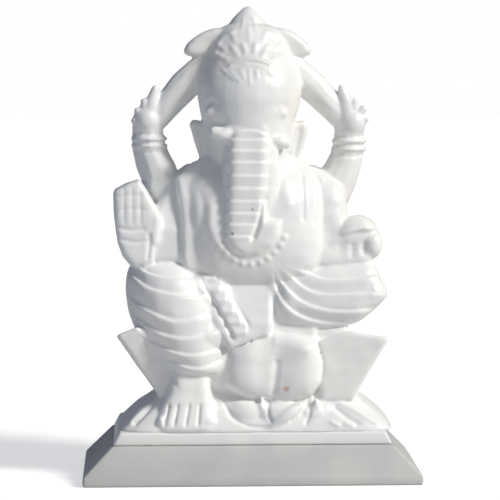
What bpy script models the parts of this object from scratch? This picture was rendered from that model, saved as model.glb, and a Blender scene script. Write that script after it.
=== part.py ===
"""Seated Ganesha idol carved from one block of white marble, as a set of named carved features.

The idol faces -Y, stands on z = 0 and is centred on x = 0. Lengths in the tables below are in
millimetres and are turned into metres when the shapes are made. "Right" and "left" are the idol's own.
"""

import math

import bmesh
import bpy
from mathutils import Vector

OBJECT_NAME = "ganesha_idol"
MM = 0.001
GAP = 0.42 * MM  # how far each neighbour is grown before it cuts: about 0.3 mm of clear crease
TOUCH = 0.6 * MM  # neighbours whose boxes come this near are cut from one another
STACK_SEGMENTS = 20
LIMB_SEGMENTS = 12

# ---- plinth, in mm ----
PLINTH_HALF_WIDTH = 53.8
PLINTH_HALF_DEPTH = 26.0
PLINTH_LIP = 3.0
PLINTH_TOP_Z = 12.2
PLINTH_TOP_HALF_WIDTH = 44.6
PLINTH_TOP_HALF_DEPTH = 22.4
SLAB_BOTTOM_Z = 12.5
SLAB_TOP_Z = 16.2
SLAB_HALF_WIDTH = 44.4
SLAB_HALF_DEPTH = 21.6
EDGE_ROUND = 0.7

# ---- stacks: (height, centre x, centre y, half width, half depth) ----
LOTUS_BASE_LEVELS = (
    (16.5, 0.4, 0.0, 44.6, 20.6),
    (19.6, 0.4, 0.0, 42.8, 19.6),
    (22.2, 0.2, 0.0, 40.2, 18.2),
    (24.6, 0.0, 0.0, 36.6, 16.2),
    (26.6, 0.0, 0.0, 31.6, 13.6),
)
LOTUS_SEAT_LEVELS = (
    (26.9, 0.0, 0.5, 29.6, 12.6),
    (34.0, 0.0, 0.5, 32.6, 14.6),
    (44.0, 0.0, 0.5, 34.6, 16.4),
    (50.0, 0.0, 1.0, 33.6, 15.4),
)
SEAT_PETAL_RIGHT_LEVELS = (
    (27.0, -25.6, 0.0, 5.6, 13.0),
    (35.0, -30.0, 0.0, 6.8, 16.2),
    (42.0, -33.4, 0.0, 8.2, 18.2),
    (45.0, -34.6, 0.0, 8.2, 18.6),
    (48.4, -32.6, 0.5, 5.0, 16.6),
)
SEAT_PETAL_LEFT_LEVELS = (
    (26.8, 27.0, -0.6, 7.2, 13.8),
    (35.0, 30.0, -0.6, 9.2, 17.0),
    (42.0, 33.6, -0.4, 9.8, 18.6),
    (45.4, 35.2, 0.0, 9.6, 18.8),
    (48.6, 32.0, 0.5, 6.4, 16.6),
)
TORSO_LEVELS = (
    (60.0, 1.0, 2.0, 17.0, 12.0),
    (66.0, 1.4, -0.6, 20.0, 14.6),
    (73.0, 1.4, -1.4, 21.0, 15.4),
    (82.0, 0.8, 0.0, 20.4, 13.6),
    (92.0, 0.2, 1.6, 20.6, 11.8),
    (98.4, 0.0, 2.4, 18.8, 10.4),
    (101.6, 0.0, 3.0, 14.0, 8.6),
)
HEAD_LEVELS = (
    (98.0, -0.6, -3.2, 8.0, 8.4),
    (102.0, -0.7, -3.0, 11.4, 11.0),
    (108.0, -0.7, -2.8, 13.2, 12.8),
    (114.0, -0.6, -2.6, 14.6, 13.8),
    (119.0, -0.4, -2.4, 16.2, 14.4),
    (123.5, -0.2, -2.0, 17.0, 14.4),
    (129.0, -0.2, -1.2, 15.8, 13.4),
    (134.0, -0.3, 0.0, 13.4, 11.6),
)
CROWN_TIER_LEVELS = (
    (134.4, -0.3, 1.0, 13.0, 10.6),
    (138.6, -0.4, 1.8, 12.2, 9.4),
    (142.0, -0.5, 2.4, 9.8, 7.6),
    (144.2, -0.6, 2.8, 7.2, 5.6),
)
CROWN_PEAK_LEVELS = (
    (144.5, -0.7, 2.8, 6.2, 4.8),
    (146.8, -0.7, 3.0, 4.4, 3.6),
    (148.8, -0.6, 3.2, 2.6, 2.2),
    (150.8, -0.6, 3.4, 0.7, 0.7),
)
LEG_RIGHT_LEVELS = (
    (35.4, -17.4, -15.0, 7.0, 4.6),
    (39.0, -18.6, -13.6, 9.6, 7.6),
    (43.0, -20.4, -10.6, 13.0, 11.2),
    (50.0, -22.6, -7.8, 15.4, 14.6),
    (57.0, -24.4, -6.8, 15.0, 15.8),
    (63.0, -26.4, -5.8, 13.2, 15.2),
    (67.4, -27.6, -4.2, 10.6, 12.4),
    (69.8, -27.8, -3.0, 7.0, 8.6),
)
FOOT_RIGHT_LEVELS = (
    (16.5, -19.8, -15.2, 9.8, 8.0),
    (20.2, -19.8, -15.0, 9.6, 7.6),
    (22.6, -19.6, -14.2, 8.4, 6.4),
    (27.0, -19.2, -12.4, 7.0, 5.2),
    (32.0, -18.8, -12.4, 6.6, 5.0),
    (38.0, -18.6, -12.0, 6.4, 5.0),
)
LEG_LEFT_LEVELS = (
    (47.6, 19.6, -7.6, 11.0, 10.6),
    (50.4, 21.4, -7.2, 14.6, 13.8),
    (54.0, 23.6, -6.8, 16.0, 15.2),
    (59.0, 25.2, -6.4, 17.4, 15.2),
    (64.0, 26.0, -5.6, 15.4, 14.0),
    (69.0, 27.0, -4.4, 12.4, 12.0),
    (72.0, 27.6, -3.4, 9.0, 9.0),
)
WAIST_CLOTH_LEVELS = (
    (47.0, 1.4, -9.4, 6.4, 8.0),
    (52.0, 0.4, -9.0, 8.2, 9.8),
    (58.0, -1.4, -8.4, 10.6, 10.0),
    (64.0, -1.6, -6.8, 12.6, 9.0),
    (68.0, -1.0, -4.8, 12.0, 8.0),
)
ARM_FRONT_RIGHT_LEVELS = (
    (67.2, -26.6, -1.4, 6.6, 8.2),
    (72.0, -26.6, -1.2, 6.8, 9.4),
    (82.0, -26.2, -0.8, 6.8, 9.4),
    (92.0, -24.6, 0.4, 6.6, 8.8),
    (97.6, -22.6, 1.8, 4.6, 7.0),
)
ARM_FRONT_LEFT_LEVELS = (
    (70.6, 25.6, -2.2, 6.4, 8.8),
    (76.0, 25.8, -1.8, 6.4, 9.6),
    (84.0, 25.4, -0.8, 6.0, 9.4),
    (92.0, 23.8, 0.4, 5.8, 8.8),
    (97.4, 21.6, 1.8, 4.2, 7.0),
)
SHAWL_RIGHT_LEVELS = (
    (70.0, -17.2, -4.4, 4.4, 8.0),
    (78.0, -17.8, -4.2, 4.6, 9.0),
    (88.0, -17.6, -2.2, 4.8, 9.2),
    (96.0, -16.6, 0.2, 4.6, 8.2),
    (100.0, -15.6, 2.0, 3.2, 6.0),
)
SHAWL_LEFT_LEVELS = (
    (72.0, 16.2, -4.4, 4.0, 8.0),
    (80.0, 16.4, -3.8, 4.2, 8.8),
    (88.0, 16.0, -2.2, 4.4, 9.2),
    (95.6, 15.2, 0.2, 4.4, 8.2),
    (99.4, 14.4, 2.0, 3.0, 6.0),
)
SWEETS_LEVELS = (
    (79.4, 35.0, -10.0, 5.6, 6.2),
    (82.0, 35.0, -10.0, 4.8, 5.2),
    (83.8, 35.0, -9.8, 2.8, 3.2),
)
BOWL_LEVELS = (
    (73.6, 34.6, -10.0, 3.2, 3.8),
    (76.0, 34.8, -10.0, 5.2, 6.0),
    (79.0, 35.0, -10.0, 6.2, 7.0),
)
HAND_LEFT_LEVELS = (
    (68.6, 34.0, -6.4, 5.2, 6.8),
    (72.0, 34.8, -7.4, 6.8, 9.0),
    (77.4, 36.2, -7.0, 5.6, 10.0),
)
MOUSE_LEVELS = (
    (16.5, 9.0, -17.8, 18.0, 4.6),
    (20.0, 9.0, -17.2, 17.4, 4.6),
    (24.0, 8.6, -15.8, 14.4, 4.4),
    (27.6, 7.6, -14.2, 9.6, 3.8),
)

# ---- limbs: (x, y, z, half width in the xz plane, half depth) along the limb ----
TRUNK_PATH = (
    (-0.2, -13.4, 117.0, 5.4, 3.4),
    (-0.3, -15.6, 112.0, 5.6, 4.6),
    (-0.6, -17.0, 101.0, 5.9, 4.8),
    (-1.4, -17.6, 92.0, 5.6, 4.6),
    (-2.6, -18.0, 84.0, 5.2, 4.4),
)
TRUNK_CURL_PATH = (
    (-2.8, -18.2, 78.6, 4.8, 4.2),
    (-0.9, -18.4, 75.2, 3.9, 4.0),
    (3.0, -18.4, 74.7, 3.5, 3.8),
    (5.9, -18.4, 77.4, 2.9, 3.4),
    (6.8, -18.2, 82.4, 2.2, 2.8),
)
TUSK_RIGHT_PATH = (
    (-5.4, -13.4, 110.4, 2.4, 2.6),
    (-9.4, -15.0, 109.6, 2.0, 2.2),
    (-13.2, -16.0, 108.4, 1.1, 1.3),
)
TUSK_LEFT_PATH = (
    (5.2, -13.2, 108.8, 2.2, 2.6),
    (9.0, -14.0, 107.2, 2.0, 2.2),
    (12.8, -13.8, 105.6, 1.5, 1.6),
)
GARLAND_PATH = (
    (-12.4, -9.0, 93.0, 1.5, 2.6),
    (-13.2, -12.4, 84.0, 1.6, 2.6),
    (-11.4, -15.2, 76.6, 1.7, 2.6),
    (-6.6, -16.4, 70.8, 1.7, 2.6),
    (0.0, -16.8, 68.6, 1.7, 2.6),
    (5.2, -16.4, 70.4, 1.7, 2.6),
    (8.8, -15.6, 74.0, 1.6, 2.6),
    (11.4, -13.4, 80.0, 1.5, 2.6),
    (11.8, -11.0, 87.0, 1.4, 2.6),
)
SASH_PATH = (
    (-15.0, -16.6, 63.4, 2.2, 3.0),
    (-12.4, -17.8, 59.6, 2.5, 3.0),
    (-7.8, -18.6, 54.2, 2.6, 3.0),
    (-3.4, -18.8, 49.6, 2.6, 3.0),
    (-0.8, -18.8, 46.2, 2.0, 2.6),
)
STALK_RIGHT_PATH = (
    (-14.2, 1.6, 131.6, 4.8, 4.2),
    (-19.4, 1.6, 127.6, 5.0, 4.4),
    (-24.6, 1.6, 121.8, 4.7, 4.2),
    (-28.6, 1.8, 116.8, 4.2, 3.8),
    (-32.4, 1.8, 113.0, 3.4, 3.4),
)
STALK_LEFT_PATH = (
    (13.6, 1.6, 131.4, 4.8, 4.2),
    (18.6, 1.6, 127.0, 5.0, 4.4),
    (24.2, 1.6, 121.6, 4.6, 4.2),
    (28.2, 1.8, 117.2, 4.2, 3.8),
    (32.0, 1.8, 113.0, 3.4, 3.4),
)
ARM_REAR_RIGHT_PATH = (
    (-32.6, 2.4, 105.2, 5.2, 5.2),
    (-31.2, 2.4, 100.4, 5.6, 5.8),
    (-29.2, 2.4, 95.0, 6.0, 6.6),
    (-26.6, 2.4, 88.0, 6.2, 7.4),
)
ARM_REAR_LEFT_PATH = (
    (31.6, 2.4, 103.8, 5.0, 5.2),
    (30.6, 2.4, 99.4, 5.4, 5.8),
    (28.6, 2.4, 94.2, 5.8, 6.6),
    (26.4, 2.4, 87.4, 5.8, 7.4),
)
BRACELET_RIGHT_PATH = (
    (-32.6, 2.4, 109.6, 5.7, 5.5),
    (-32.6, 2.4, 107.6, 6.1, 5.9),
    (-32.5, 2.4, 105.5, 5.7, 5.5),
)
BRACELET_LEFT_PATH = (
    (32.0, 2.4, 108.8, 5.5, 5.4),
    (32.2, 2.4, 106.4, 6.0, 5.9),
    (31.9, 2.4, 104.1, 5.5, 5.4),
)
HAND_REAR_RIGHT_PATH = (
    (-32.7, 2.2, 110.0, 5.2, 4.8),
    (-33.0, 1.6, 114.0, 5.0, 4.8),
    (-32.6, 1.2, 118.0, 4.0, 4.2),
    (-31.2, 1.2, 122.0, 2.6, 3.0),
    (-30.4, 1.2, 125.2, 1.2, 1.6),
)
HAND_REAR_LEFT_PATH = (
    (32.2, 2.2, 109.2, 5.0, 4.8),
    (32.8, 1.6, 113.6, 5.0, 4.8),
    (32.6, 1.2, 117.6, 4.4, 4.2),
    (30.8, 1.2, 121.6, 2.6, 3.0),
    (29.6, 1.2, 125.0, 1.2, 1.6),
)

# ---- reliefs: outline in the xz plane, then front y and back y ----
FRONT_PETAL_RIGHT = (
    ((-9.8, 33.0), (-8.4, 40.4), (-4.4, 45.6), (1.4, 48.4), (7.2, 48.8), (7.2, 31.6), (2.0, 27.4), (-6.0, 28.2)),
    -20.4,
    -9.4,
)
FRONT_PETAL_LEFT = (
    ((7.6, 31.2), (7.6, 48.8), (13.6, 47.8), (19.8, 45.0), (22.2, 38.0), (20.6, 31.6), (14.4, 26.9), (10.4, 28.0)),
    -20.4,
    -9.4,
)
HAND_BLESSING = (
    (
        (-43.4, 92.2),
        (-39.6, 95.0),
        (-35.6, 96.0),
        (-33.0, 92.4),
        (-31.4, 88.4),
        (-30.6, 80.0),
        (-31.6, 71.4),
        (-37.6, 69.4),
        (-41.6, 74.6),
        (-43.4, 82.0),
    ),
    -14.4,
    -4.0,
)
EAR_RIGHT = (
    ((-12.4, 114.4), (-18.4, 114.6), (-19.8, 112.8), (-18.0, 108.0), (-16.0, 102.4), (-15.6, 99.8), (-10.0, 99.4)),
    -2.6,
    5.4,
)
EAR_LEFT = (
    ((11.8, 114.4), (17.8, 114.4), (18.8, 112.4), (17.8, 108.0), (16.6, 104.4), (15.2, 99.4), (10.0, 99.0)),
    -2.6,
    5.4,
)
BUD_RIGHT = (
    ((-21.4, 136.6), (-18.2, 140.6), (-12.8, 143.4), (-7.0, 144.4), (-6.4, 134.8), (-12.2, 134.2), (-18.6, 134.6)),
    -2.2,
    6.8,
)
BUD_LEFT = (
    ((20.0, 136.8), (16.2, 140.8), (11.4, 143.8), (6.0, 144.2), (5.6, 134.6), (11.6, 134.0), (18.4, 134.4)),
    -2.2,
    6.8,
)
CROWN_BAND = (
    ((-9.6, 131.4), (-8.2, 133.6), (-3.6, 135.8), (2.2, 135.8), (6.4, 133.6), (7.8, 131.2), (2.0, 133.0), (-3.6, 133.0)),
    -13.8,
    -8.0,
)
BROW_ORNAMENT = (
    ((-7.4, 131.6), (-3.2, 132.6), (1.8, 132.6), (5.8, 131.4), (2.2, 129.4), (-0.8, 127.6), (-3.8, 129.4)),
    -14.6,
    -9.0,
)
RELIEF_ROUND = 1.6
PETAL_ROUND = 3.2
SMALL_RELIEF_ROUND = 0.5

# ---- carved grooves: (x, z) at the groove's two ends, then width, front y and back y ----
FINGER_SLITS = (
    ((-40.6, 96.5), (-40.2, 78.4), 0.6, -16.0, -13.0),
    ((-37.6, 97.5), (-37.4, 78.4), 0.6, -16.0, -13.0),
    ((-34.8, 98.0), (-34.6, 78.4), 0.6, -16.0, -13.0),
)
TOE_SLITS = (
    ((-27.6, 23.6), (-27.8, 15.0), 0.6, -25.0, -20.6),
    ((-25.0, 23.8), (-25.2, 15.0), 0.6, -25.0, -20.6),
    ((-22.0, 24.0), (-22.2, 15.0), 0.6, -25.0, -20.6),
    ((-18.0, 24.4), (-18.2, 15.0), 0.6, -25.0, -20.6),
)
TRUNK_RINGS = 8
TRUNK_RING_DEPTH = 0.45
CLOTH_FOLDS = 5
CLOTH_FOLD_DEPTH = 0.5

# ---- how square each kind of section is: 2 is an ellipse, larger is boxier ----
ROUND = 2.0
SOFT = 2.5
BOXY = 4.0


def signed_power(value, power):
    """A sine or cosine bent towards a box, keeping its sign."""
    return math.copysign(abs(value) ** (2.0 / power), value)


def mesh_object(name, points, faces):
    """Link a new closed mesh, points in millimetres, with its faces pointing out."""
    mesh = bpy.data.meshes.new(name)
    mesh.from_pydata([Vector(point) * MM for point in points], [], faces)
    work = bmesh.new()
    work.from_mesh(mesh)
    bmesh.ops.recalc_face_normals(work, faces=work.faces)
    work.to_mesh(mesh)
    work.free()
    node = bpy.data.objects.new(name, mesh)
    bpy.context.scene.collection.objects.link(node)
    return node


def skin_rings(name, rings):
    """Close a run of equal rings into one solid: sides between the rings and a cap at each end."""
    count = len(rings[0])
    points = [point for ring in rings for point in ring]
    faces = [tuple(range(count)), tuple(range(len(points) - count, len(points)))]
    for level in range(len(rings) - 1):
        low = level * count
        for i in range(count):
            j = (i + 1) % count
            faces.append((low + i, low + j, low + count + j, low + count + i))
    return mesh_object(name, points, faces)


def stack(name, levels, power=SOFT):
    """A solid of level sections, each a rounded box lying flat."""
    rings = []
    for z, centre_x, centre_y, half_x, half_y in levels:
        ring = []
        for i in range(STACK_SEGMENTS):
            angle = 2 * math.pi * i / STACK_SEGMENTS
            x = centre_x + half_x * signed_power(math.cos(angle), power)
            y = centre_y + half_y * signed_power(math.sin(angle), power)
            ring.append((x, y, z))
        rings.append(ring)
    return skin_rings(name, rings)


def limb(name, path, power=ROUND):
    """A solid swept along a path, each section square to the path and upright in depth."""
    rings = []
    centres = [Vector(step[:3]) for step in path]
    last = len(path) - 1
    for index, step in enumerate(path):
        along = (centres[min(index + 1, last)] - centres[max(index - 1, 0)]).normalized()
        across = along.cross(Vector((0.0, 1.0, 0.0))).normalized()
        depth = across.cross(along).normalized()
        ring = []
        for i in range(LIMB_SEGMENTS):
            angle = 2 * math.pi * i / LIMB_SEGMENTS
            side = step[3] * signed_power(math.cos(angle), power)
            front = step[4] * signed_power(math.sin(angle), power)
            ring.append(tuple(centres[index] + across * side + depth * front))
        rings.append(ring)
    return skin_rings(name, rings)


def between(rows, turns):
    """Rows of numbers spread evenly from the first row to the last, straight between neighbours."""
    spread = []
    for turn in range(turns + 1):
        place = (len(rows) - 1) * turn / turns
        first = min(int(place), len(rows) - 2)
        share = place - first
        spread.append(tuple(a + (b - a) * share for a, b in zip(rows[first], rows[first + 1])))
    return spread


def rippled(rows, waves, depth):
    """The same rows with rings or folds: every second section stands proud by the given depth."""
    ripples = []
    for index, row in enumerate(between(rows, 2 * waves)):
        proud = depth if index % 2 else -depth
        ripples.append(row[:3] + (row[3] + proud, row[4] + proud))
    return ripples


def folded(levels):
    """Cloth folds round a leg: the level sections of a stack made to ripple."""
    rows = [(x, y, z, half_x, half_y) for z, x, y, half_x, half_y in levels]
    return [
        (z, x, y, half_x, half_y)
        for x, y, z, half_x, half_y in rippled(rows, CLOTH_FOLDS, CLOTH_FOLD_DEPTH)
    ]


def slit(name, groove):
    """The cutter of one narrow groove, straight between two points of the face."""
    start, end, width, front, back = groove
    middle = (front + back) / 2
    path = [(x, middle, z, width / 2, (back - front) / 2) for x, z in (start, end)]
    return limb(name, path, BOXY)


def grooved(node, grooves, collection):
    """Cut a row of grooves into a feature before it is parted from its neighbours."""
    for index, groove in enumerate(grooves):
        cutter = slit(f"cutter_{node.name}_groove_{index}", groove)
        bpy.context.scene.collection.objects.unlink(cutter)
        collection.objects.link(cutter)
        cutter.hide_render = True
        cutter.display_type = "WIRE"
        cut = node.modifiers.new("groove", "BOOLEAN")
        cut.operation = "DIFFERENCE"
        cut.solver = "EXACT"
        cut.object = cutter
    apply_all(node)


def relief(name, shape, rounding=RELIEF_ROUND):
    """A plate of the given outline with rounded rims."""
    outline, front, back = shape
    rings = [[(x, y, z) for x, z in outline] for y in (front, back)]
    node = skin_rings(name, rings)
    rims = node.modifiers.new("rounded rims", "BEVEL")
    rims.width = rounding * MM
    rims.segments = 2
    rims.limit_method = "ANGLE"
    return node


def block(name, levels, rounding=EDGE_ROUND):
    """A stack of rectangles, each (height, half width, half depth), with softened edges."""
    rings = []
    for z, half_x, half_y in levels:
        rings.append([(-half_x, -half_y, z), (half_x, -half_y, z), (half_x, half_y, z), (-half_x, half_y, z)])
    node = skin_rings(name, rings)
    edges = node.modifiers.new("softened edges", "BEVEL")
    edges.width = rounding * MM
    edges.segments = 2
    edges.limit_method = "ANGLE"
    return node


def apply_all(node):
    """Turn the modifiers of a node into its mesh."""
    bpy.ops.object.select_all(action="DESELECT")
    node.select_set(True)
    bpy.context.view_layer.objects.active = node
    for name in [modifier.name for modifier in node.modifiers]:
        bpy.ops.object.modifier_apply(modifier=name)


def grown_copy(node, collection):
    """The cutter of a node: its shape grown by the crease gap, kept out of sight."""
    cutter = node.copy()
    cutter.data = node.data.copy()
    cutter.name = "cutter_" + node.name
    collection.objects.link(cutter)
    swell = cutter.modifiers.new("crease gap", "DISPLACE")
    swell.strength = GAP
    swell.mid_level = 0.0
    apply_all(cutter)
    cutter.hide_render = True
    cutter.display_type = "WIRE"
    return cutter


def reach(node):
    """Lowest and highest corner of a mesh."""
    corners = [Vector(corner) for corner in node.bound_box]
    low = Vector([min(corner[axis] for corner in corners) for axis in range(3)])
    high = Vector([max(corner[axis] for corner in corners) for axis in range(3)])
    return low, high


def near(first, second):
    """Whether two boxes come within touching distance."""
    return all(
        first[0][axis] - TOUCH < second[1][axis] and second[0][axis] - TOUCH < first[1][axis]
        for axis in range(3)
    )


def keep_largest_body(node):
    """Drop the chips that a cut left loose, so the node stays one body."""
    work = bmesh.new()
    work.from_mesh(node.data)
    bmesh.ops.remove_doubles(work, verts=work.verts, dist=0.004 * MM)
    left = set(work.verts)
    bodies = []
    while left:
        body = {left.pop()}
        edge = list(body)
        while edge:
            vertex = edge.pop()
            for link in vertex.link_edges:
                other = link.other_vert(vertex)
                if other not in body:
                    body.add(other)
                    edge.append(other)
        left -= body
        bodies.append(body)
    bodies.sort(key=body_size)
    chips = [vertex for body in bodies[:-1] for vertex in body]
    bmesh.ops.delete(work, geom=chips, context="VERTS")
    work.to_mesh(node.data)
    work.free()


def body_size(body):
    """The box volume of a set of vertices."""
    spans = [max(v.co[axis] for v in body) - min(v.co[axis] for v in body) for axis in range(3)]
    return spans[0] * spans[1] * spans[2]


def polished_marble(name):
    """White marble with a soft polish, one material for each carved feature."""
    material = bpy.data.materials.new("marble_" + name)
    material.use_nodes = True
    shader = material.node_tree.nodes["Principled BSDF"]
    shader.inputs["Base Color"].default_value = (0.84, 0.84, 0.82, 1.0)
    shader.inputs["Roughness"].default_value = 0.38
    return material


def carved_features():
    """Every feature as a whole shape, the ones in front first: each is cut by those before it."""
    return [
        limb("trunk", rippled(TRUNK_PATH, TRUNK_RINGS, TRUNK_RING_DEPTH) + list(TRUNK_CURL_PATH)),
        limb("tusk_right", TUSK_RIGHT_PATH),
        limb("tusk_left", TUSK_LEFT_PATH),
        limb("garland", GARLAND_PATH),
        limb("sash", SASH_PATH, SOFT),
        stack("sweets", SWEETS_LEVELS, ROUND),
        stack("sweet_bowl", BOWL_LEVELS, ROUND),
        stack("hand_front_left", HAND_LEFT_LEVELS),
        relief("hand_front_right", HAND_BLESSING),
        relief("crown_band", CROWN_BAND, SMALL_RELIEF_ROUND),
        relief("brow_ornament", BROW_ORNAMENT, SMALL_RELIEF_ROUND),
        stack("crown_peak", CROWN_PEAK_LEVELS),
        stack("crown_tier", CROWN_TIER_LEVELS),
        stack("head", HEAD_LEVELS, ROUND),
        relief("ear_right", EAR_RIGHT),
        relief("ear_left", EAR_LEFT),
        relief("bud_right", BUD_RIGHT),
        relief("bud_left", BUD_LEFT),
        limb("bracelet_right", BRACELET_RIGHT_PATH),
        limb("bracelet_left", BRACELET_LEFT_PATH),
        limb("hand_rear_right", HAND_REAR_RIGHT_PATH),
        limb("hand_rear_left", HAND_REAR_LEFT_PATH),
        limb("stalk_right", STALK_RIGHT_PATH),
        limb("stalk_left", STALK_LEFT_PATH),
        limb("arm_rear_right", ARM_REAR_RIGHT_PATH),
        limb("arm_rear_left", ARM_REAR_LEFT_PATH),
        stack("mouse", MOUSE_LEVELS),
        relief("front_petal_right", FRONT_PETAL_RIGHT, PETAL_ROUND),
        relief("front_petal_left", FRONT_PETAL_LEFT, PETAL_ROUND),
        stack("leg_right", folded(LEG_RIGHT_LEVELS)),
        stack("leg_left", folded(LEG_LEFT_LEVELS)),
        stack("foot_right", FOOT_RIGHT_LEVELS),
        stack("waist_cloth", WAIST_CLOTH_LEVELS),
        stack("arm_front_right", ARM_FRONT_RIGHT_LEVELS),
        stack("arm_front_left", ARM_FRONT_LEFT_LEVELS),
        stack("shawl_right", SHAWL_RIGHT_LEVELS),
        stack("shawl_left", SHAWL_LEFT_LEVELS),
        stack("torso", TORSO_LEVELS),
        stack("seat_petal_right", SEAT_PETAL_RIGHT_LEVELS, BOXY),
        stack("seat_petal_left", SEAT_PETAL_LEFT_LEVELS, BOXY),
        stack("lotus_seat", LOTUS_SEAT_LEVELS, BOXY),
        stack("lotus_base", LOTUS_BASE_LEVELS, BOXY),
        block(
            "plinth_slab",
            (
                (SLAB_BOTTOM_Z, SLAB_HALF_WIDTH, SLAB_HALF_DEPTH),
                (SLAB_TOP_Z, SLAB_HALF_WIDTH, SLAB_HALF_DEPTH),
            ),
        ),
        block(
            "plinth",
            (
                (0.0, PLINTH_HALF_WIDTH, PLINTH_HALF_DEPTH),
                (PLINTH_LIP, PLINTH_HALF_WIDTH, PLINTH_HALF_DEPTH),
                (PLINTH_TOP_Z, PLINTH_TOP_HALF_WIDTH, PLINTH_TOP_HALF_DEPTH),
            ),
        ),
    ]


def build():
    """Clear the scene, shape every feature, part neighbours at their creases and dress them."""
    for old in list(bpy.data.objects):
        bpy.data.objects.remove(old)
    collection = bpy.data.collections.new(OBJECT_NAME)
    cutters = bpy.data.collections.new("cutters")
    bpy.context.scene.collection.children.link(collection)
    bpy.context.scene.collection.children.link(cutters)
    features = carved_features()
    for node in features:
        apply_all(node)
    named = {node.name: node for node in features}
    grown = [grown_copy(node, cutters) for node in features]
    grooved(named["hand_front_right"], FINGER_SLITS, cutters)
    grooved(named["foot_right"], TOE_SLITS, cutters)
    bpy.context.view_layer.update()
    boxes = [reach(node) for node in features]
    for index, node in enumerate(features):
        for front in range(index):
            if not near(boxes[index], boxes[front]):
                continue
            crease = node.modifiers.new("crease to " + features[front].name, "BOOLEAN")
            crease.operation = "DIFFERENCE"
            crease.solver = "EXACT"
            crease.object = grown[front]
        apply_all(node)
        keep_largest_body(node)
        node.data.materials.clear()
        node.data.materials.append(polished_marble(node.name))
        bpy.context.scene.collection.objects.unlink(node)
        collection.objects.link(node)
    cutters.hide_render = True


build()
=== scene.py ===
"""Household Ganesha idol in white marble: roughed out, carved, polished and parted into features.

Blank forms are fused into one stone, cut with chisel strokes and smoothed. The stone is then parted
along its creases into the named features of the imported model. Lengths are in millimetres unless a
name says otherwise. The idol faces -Y, and "right" and "left" are its own.
"""

import logging
import math
from dataclasses import dataclass, field
from enum import Enum
from typing import Iterable, NamedTuple, Sequence

import bmesh
import bpy
import numpy as np
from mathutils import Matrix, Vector
from mathutils.bvhtree import BVHTree


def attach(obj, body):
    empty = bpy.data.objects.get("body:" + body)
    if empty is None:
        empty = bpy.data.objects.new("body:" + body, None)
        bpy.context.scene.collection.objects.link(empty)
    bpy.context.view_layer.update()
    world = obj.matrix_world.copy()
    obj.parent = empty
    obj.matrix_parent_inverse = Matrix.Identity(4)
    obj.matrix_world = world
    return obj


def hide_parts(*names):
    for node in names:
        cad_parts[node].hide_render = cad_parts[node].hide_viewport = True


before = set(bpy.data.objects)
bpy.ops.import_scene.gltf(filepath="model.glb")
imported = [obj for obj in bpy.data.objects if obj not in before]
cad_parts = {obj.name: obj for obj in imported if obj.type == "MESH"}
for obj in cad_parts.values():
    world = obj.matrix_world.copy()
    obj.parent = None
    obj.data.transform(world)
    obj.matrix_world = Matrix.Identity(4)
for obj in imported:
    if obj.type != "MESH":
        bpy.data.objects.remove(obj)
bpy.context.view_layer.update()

LOG = logging.getLogger("idol")
MM = 0.001
WELD = 0.01 * MM
# The seat's foot, from which a plate's back face is scaled.
SEAT_FOOT = 16.0
# Subdividing draws a cage inwards, so a round or a boxy one starts this much larger.
ROUND_SWELL = 1.045
BOXY_SWELL = 0.03
# How soon a stroke reaches its full depth as the surface turns to the front.
FACING_GAIN = 2.2
# A stroke this many widths long starts shallow and deepens quickly, as under a chisel.
LONG_STROKE = 4
END_DEPTH = 0.25
END_GAIN = 9
# Width of a step's slope over the width of its edge.
STEP_SLOPE = 0.35

Outline = tuple[tuple[float, float], ...]


class Cut(Enum):
    """What one pass of the chisel leaves behind."""

    GROOVE = "groove"
    RIDGE = "ridge"
    STEP = "step"


class Level(NamedTuple):
    """One level section of a lofted form."""

    z: float
    x: float
    y: float
    half_x: float
    half_y: float


class Joint(NamedTuple):
    """One point of a limb's middle line, with its radius there."""

    x: float
    y: float
    z: float
    radius: float


class Stroke(NamedTuple):
    """One chisel line over the front, as (x, z) points.

    Attributes:
        back: Y behind which it leaves the stone alone.
        reach: How far a step's slope runs out.
    """

    points: Outline
    depth: float
    width: float
    cut: Cut = Cut.GROOVE
    back: float = 6.0
    reach: float = 3.0


def deselect() -> None:
    """Leave object mode clean, with nothing selected."""
    if bpy.context.mode != "OBJECT":
        bpy.ops.object.mode_set(mode="OBJECT")
    bpy.ops.object.select_all(action="DESELECT")


def choose(piece: bpy.types.Object) -> None:
    """Select one object alone and make it active.

    Args:
        piece: The object to work on.
    """
    deselect()
    piece.select_set(True)
    bpy.context.view_layer.objects.active = piece


def apply_modifiers(piece: bpy.types.Object) -> None:
    """Apply every modifier of a piece, first to last.

    Args:
        piece: The object whose modifiers become mesh.
    """
    choose(piece)
    for name in [modifier.name for modifier in piece.modifiers]:
        bpy.ops.object.modifier_apply(modifier=name)


def coordinates(mesh: bpy.types.Mesh) -> np.ndarray:
    """Read a mesh's points.

    Args:
        mesh: The mesh to read.

    Returns:
        An array of points, in millimetres.
    """
    flat = np.empty(len(mesh.vertices) * 3, np.float32)
    mesh.vertices.foreach_get("co", flat)
    return flat.reshape(-1, 3).astype(np.float64) / MM


def normals(mesh: bpy.types.Mesh) -> np.ndarray:
    """Read a mesh's point normals.

    Args:
        mesh: The mesh to read.

    Returns:
        An array of unit vectors.
    """
    flat = np.empty(len(mesh.vertices) * 3, np.float32)
    mesh.vertex_normals.foreach_get("vector", flat)
    return flat.reshape(-1, 3).astype(np.float64)


def move_points(mesh: bpy.types.Mesh, points: np.ndarray) -> None:
    """Write a mesh's points.

    Args:
        mesh: The mesh to change.
        points: Its new points, in millimetres.
    """
    mesh.vertices.foreach_set("co", (points * MM).astype(np.float32).ravel())
    mesh.update()


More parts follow.
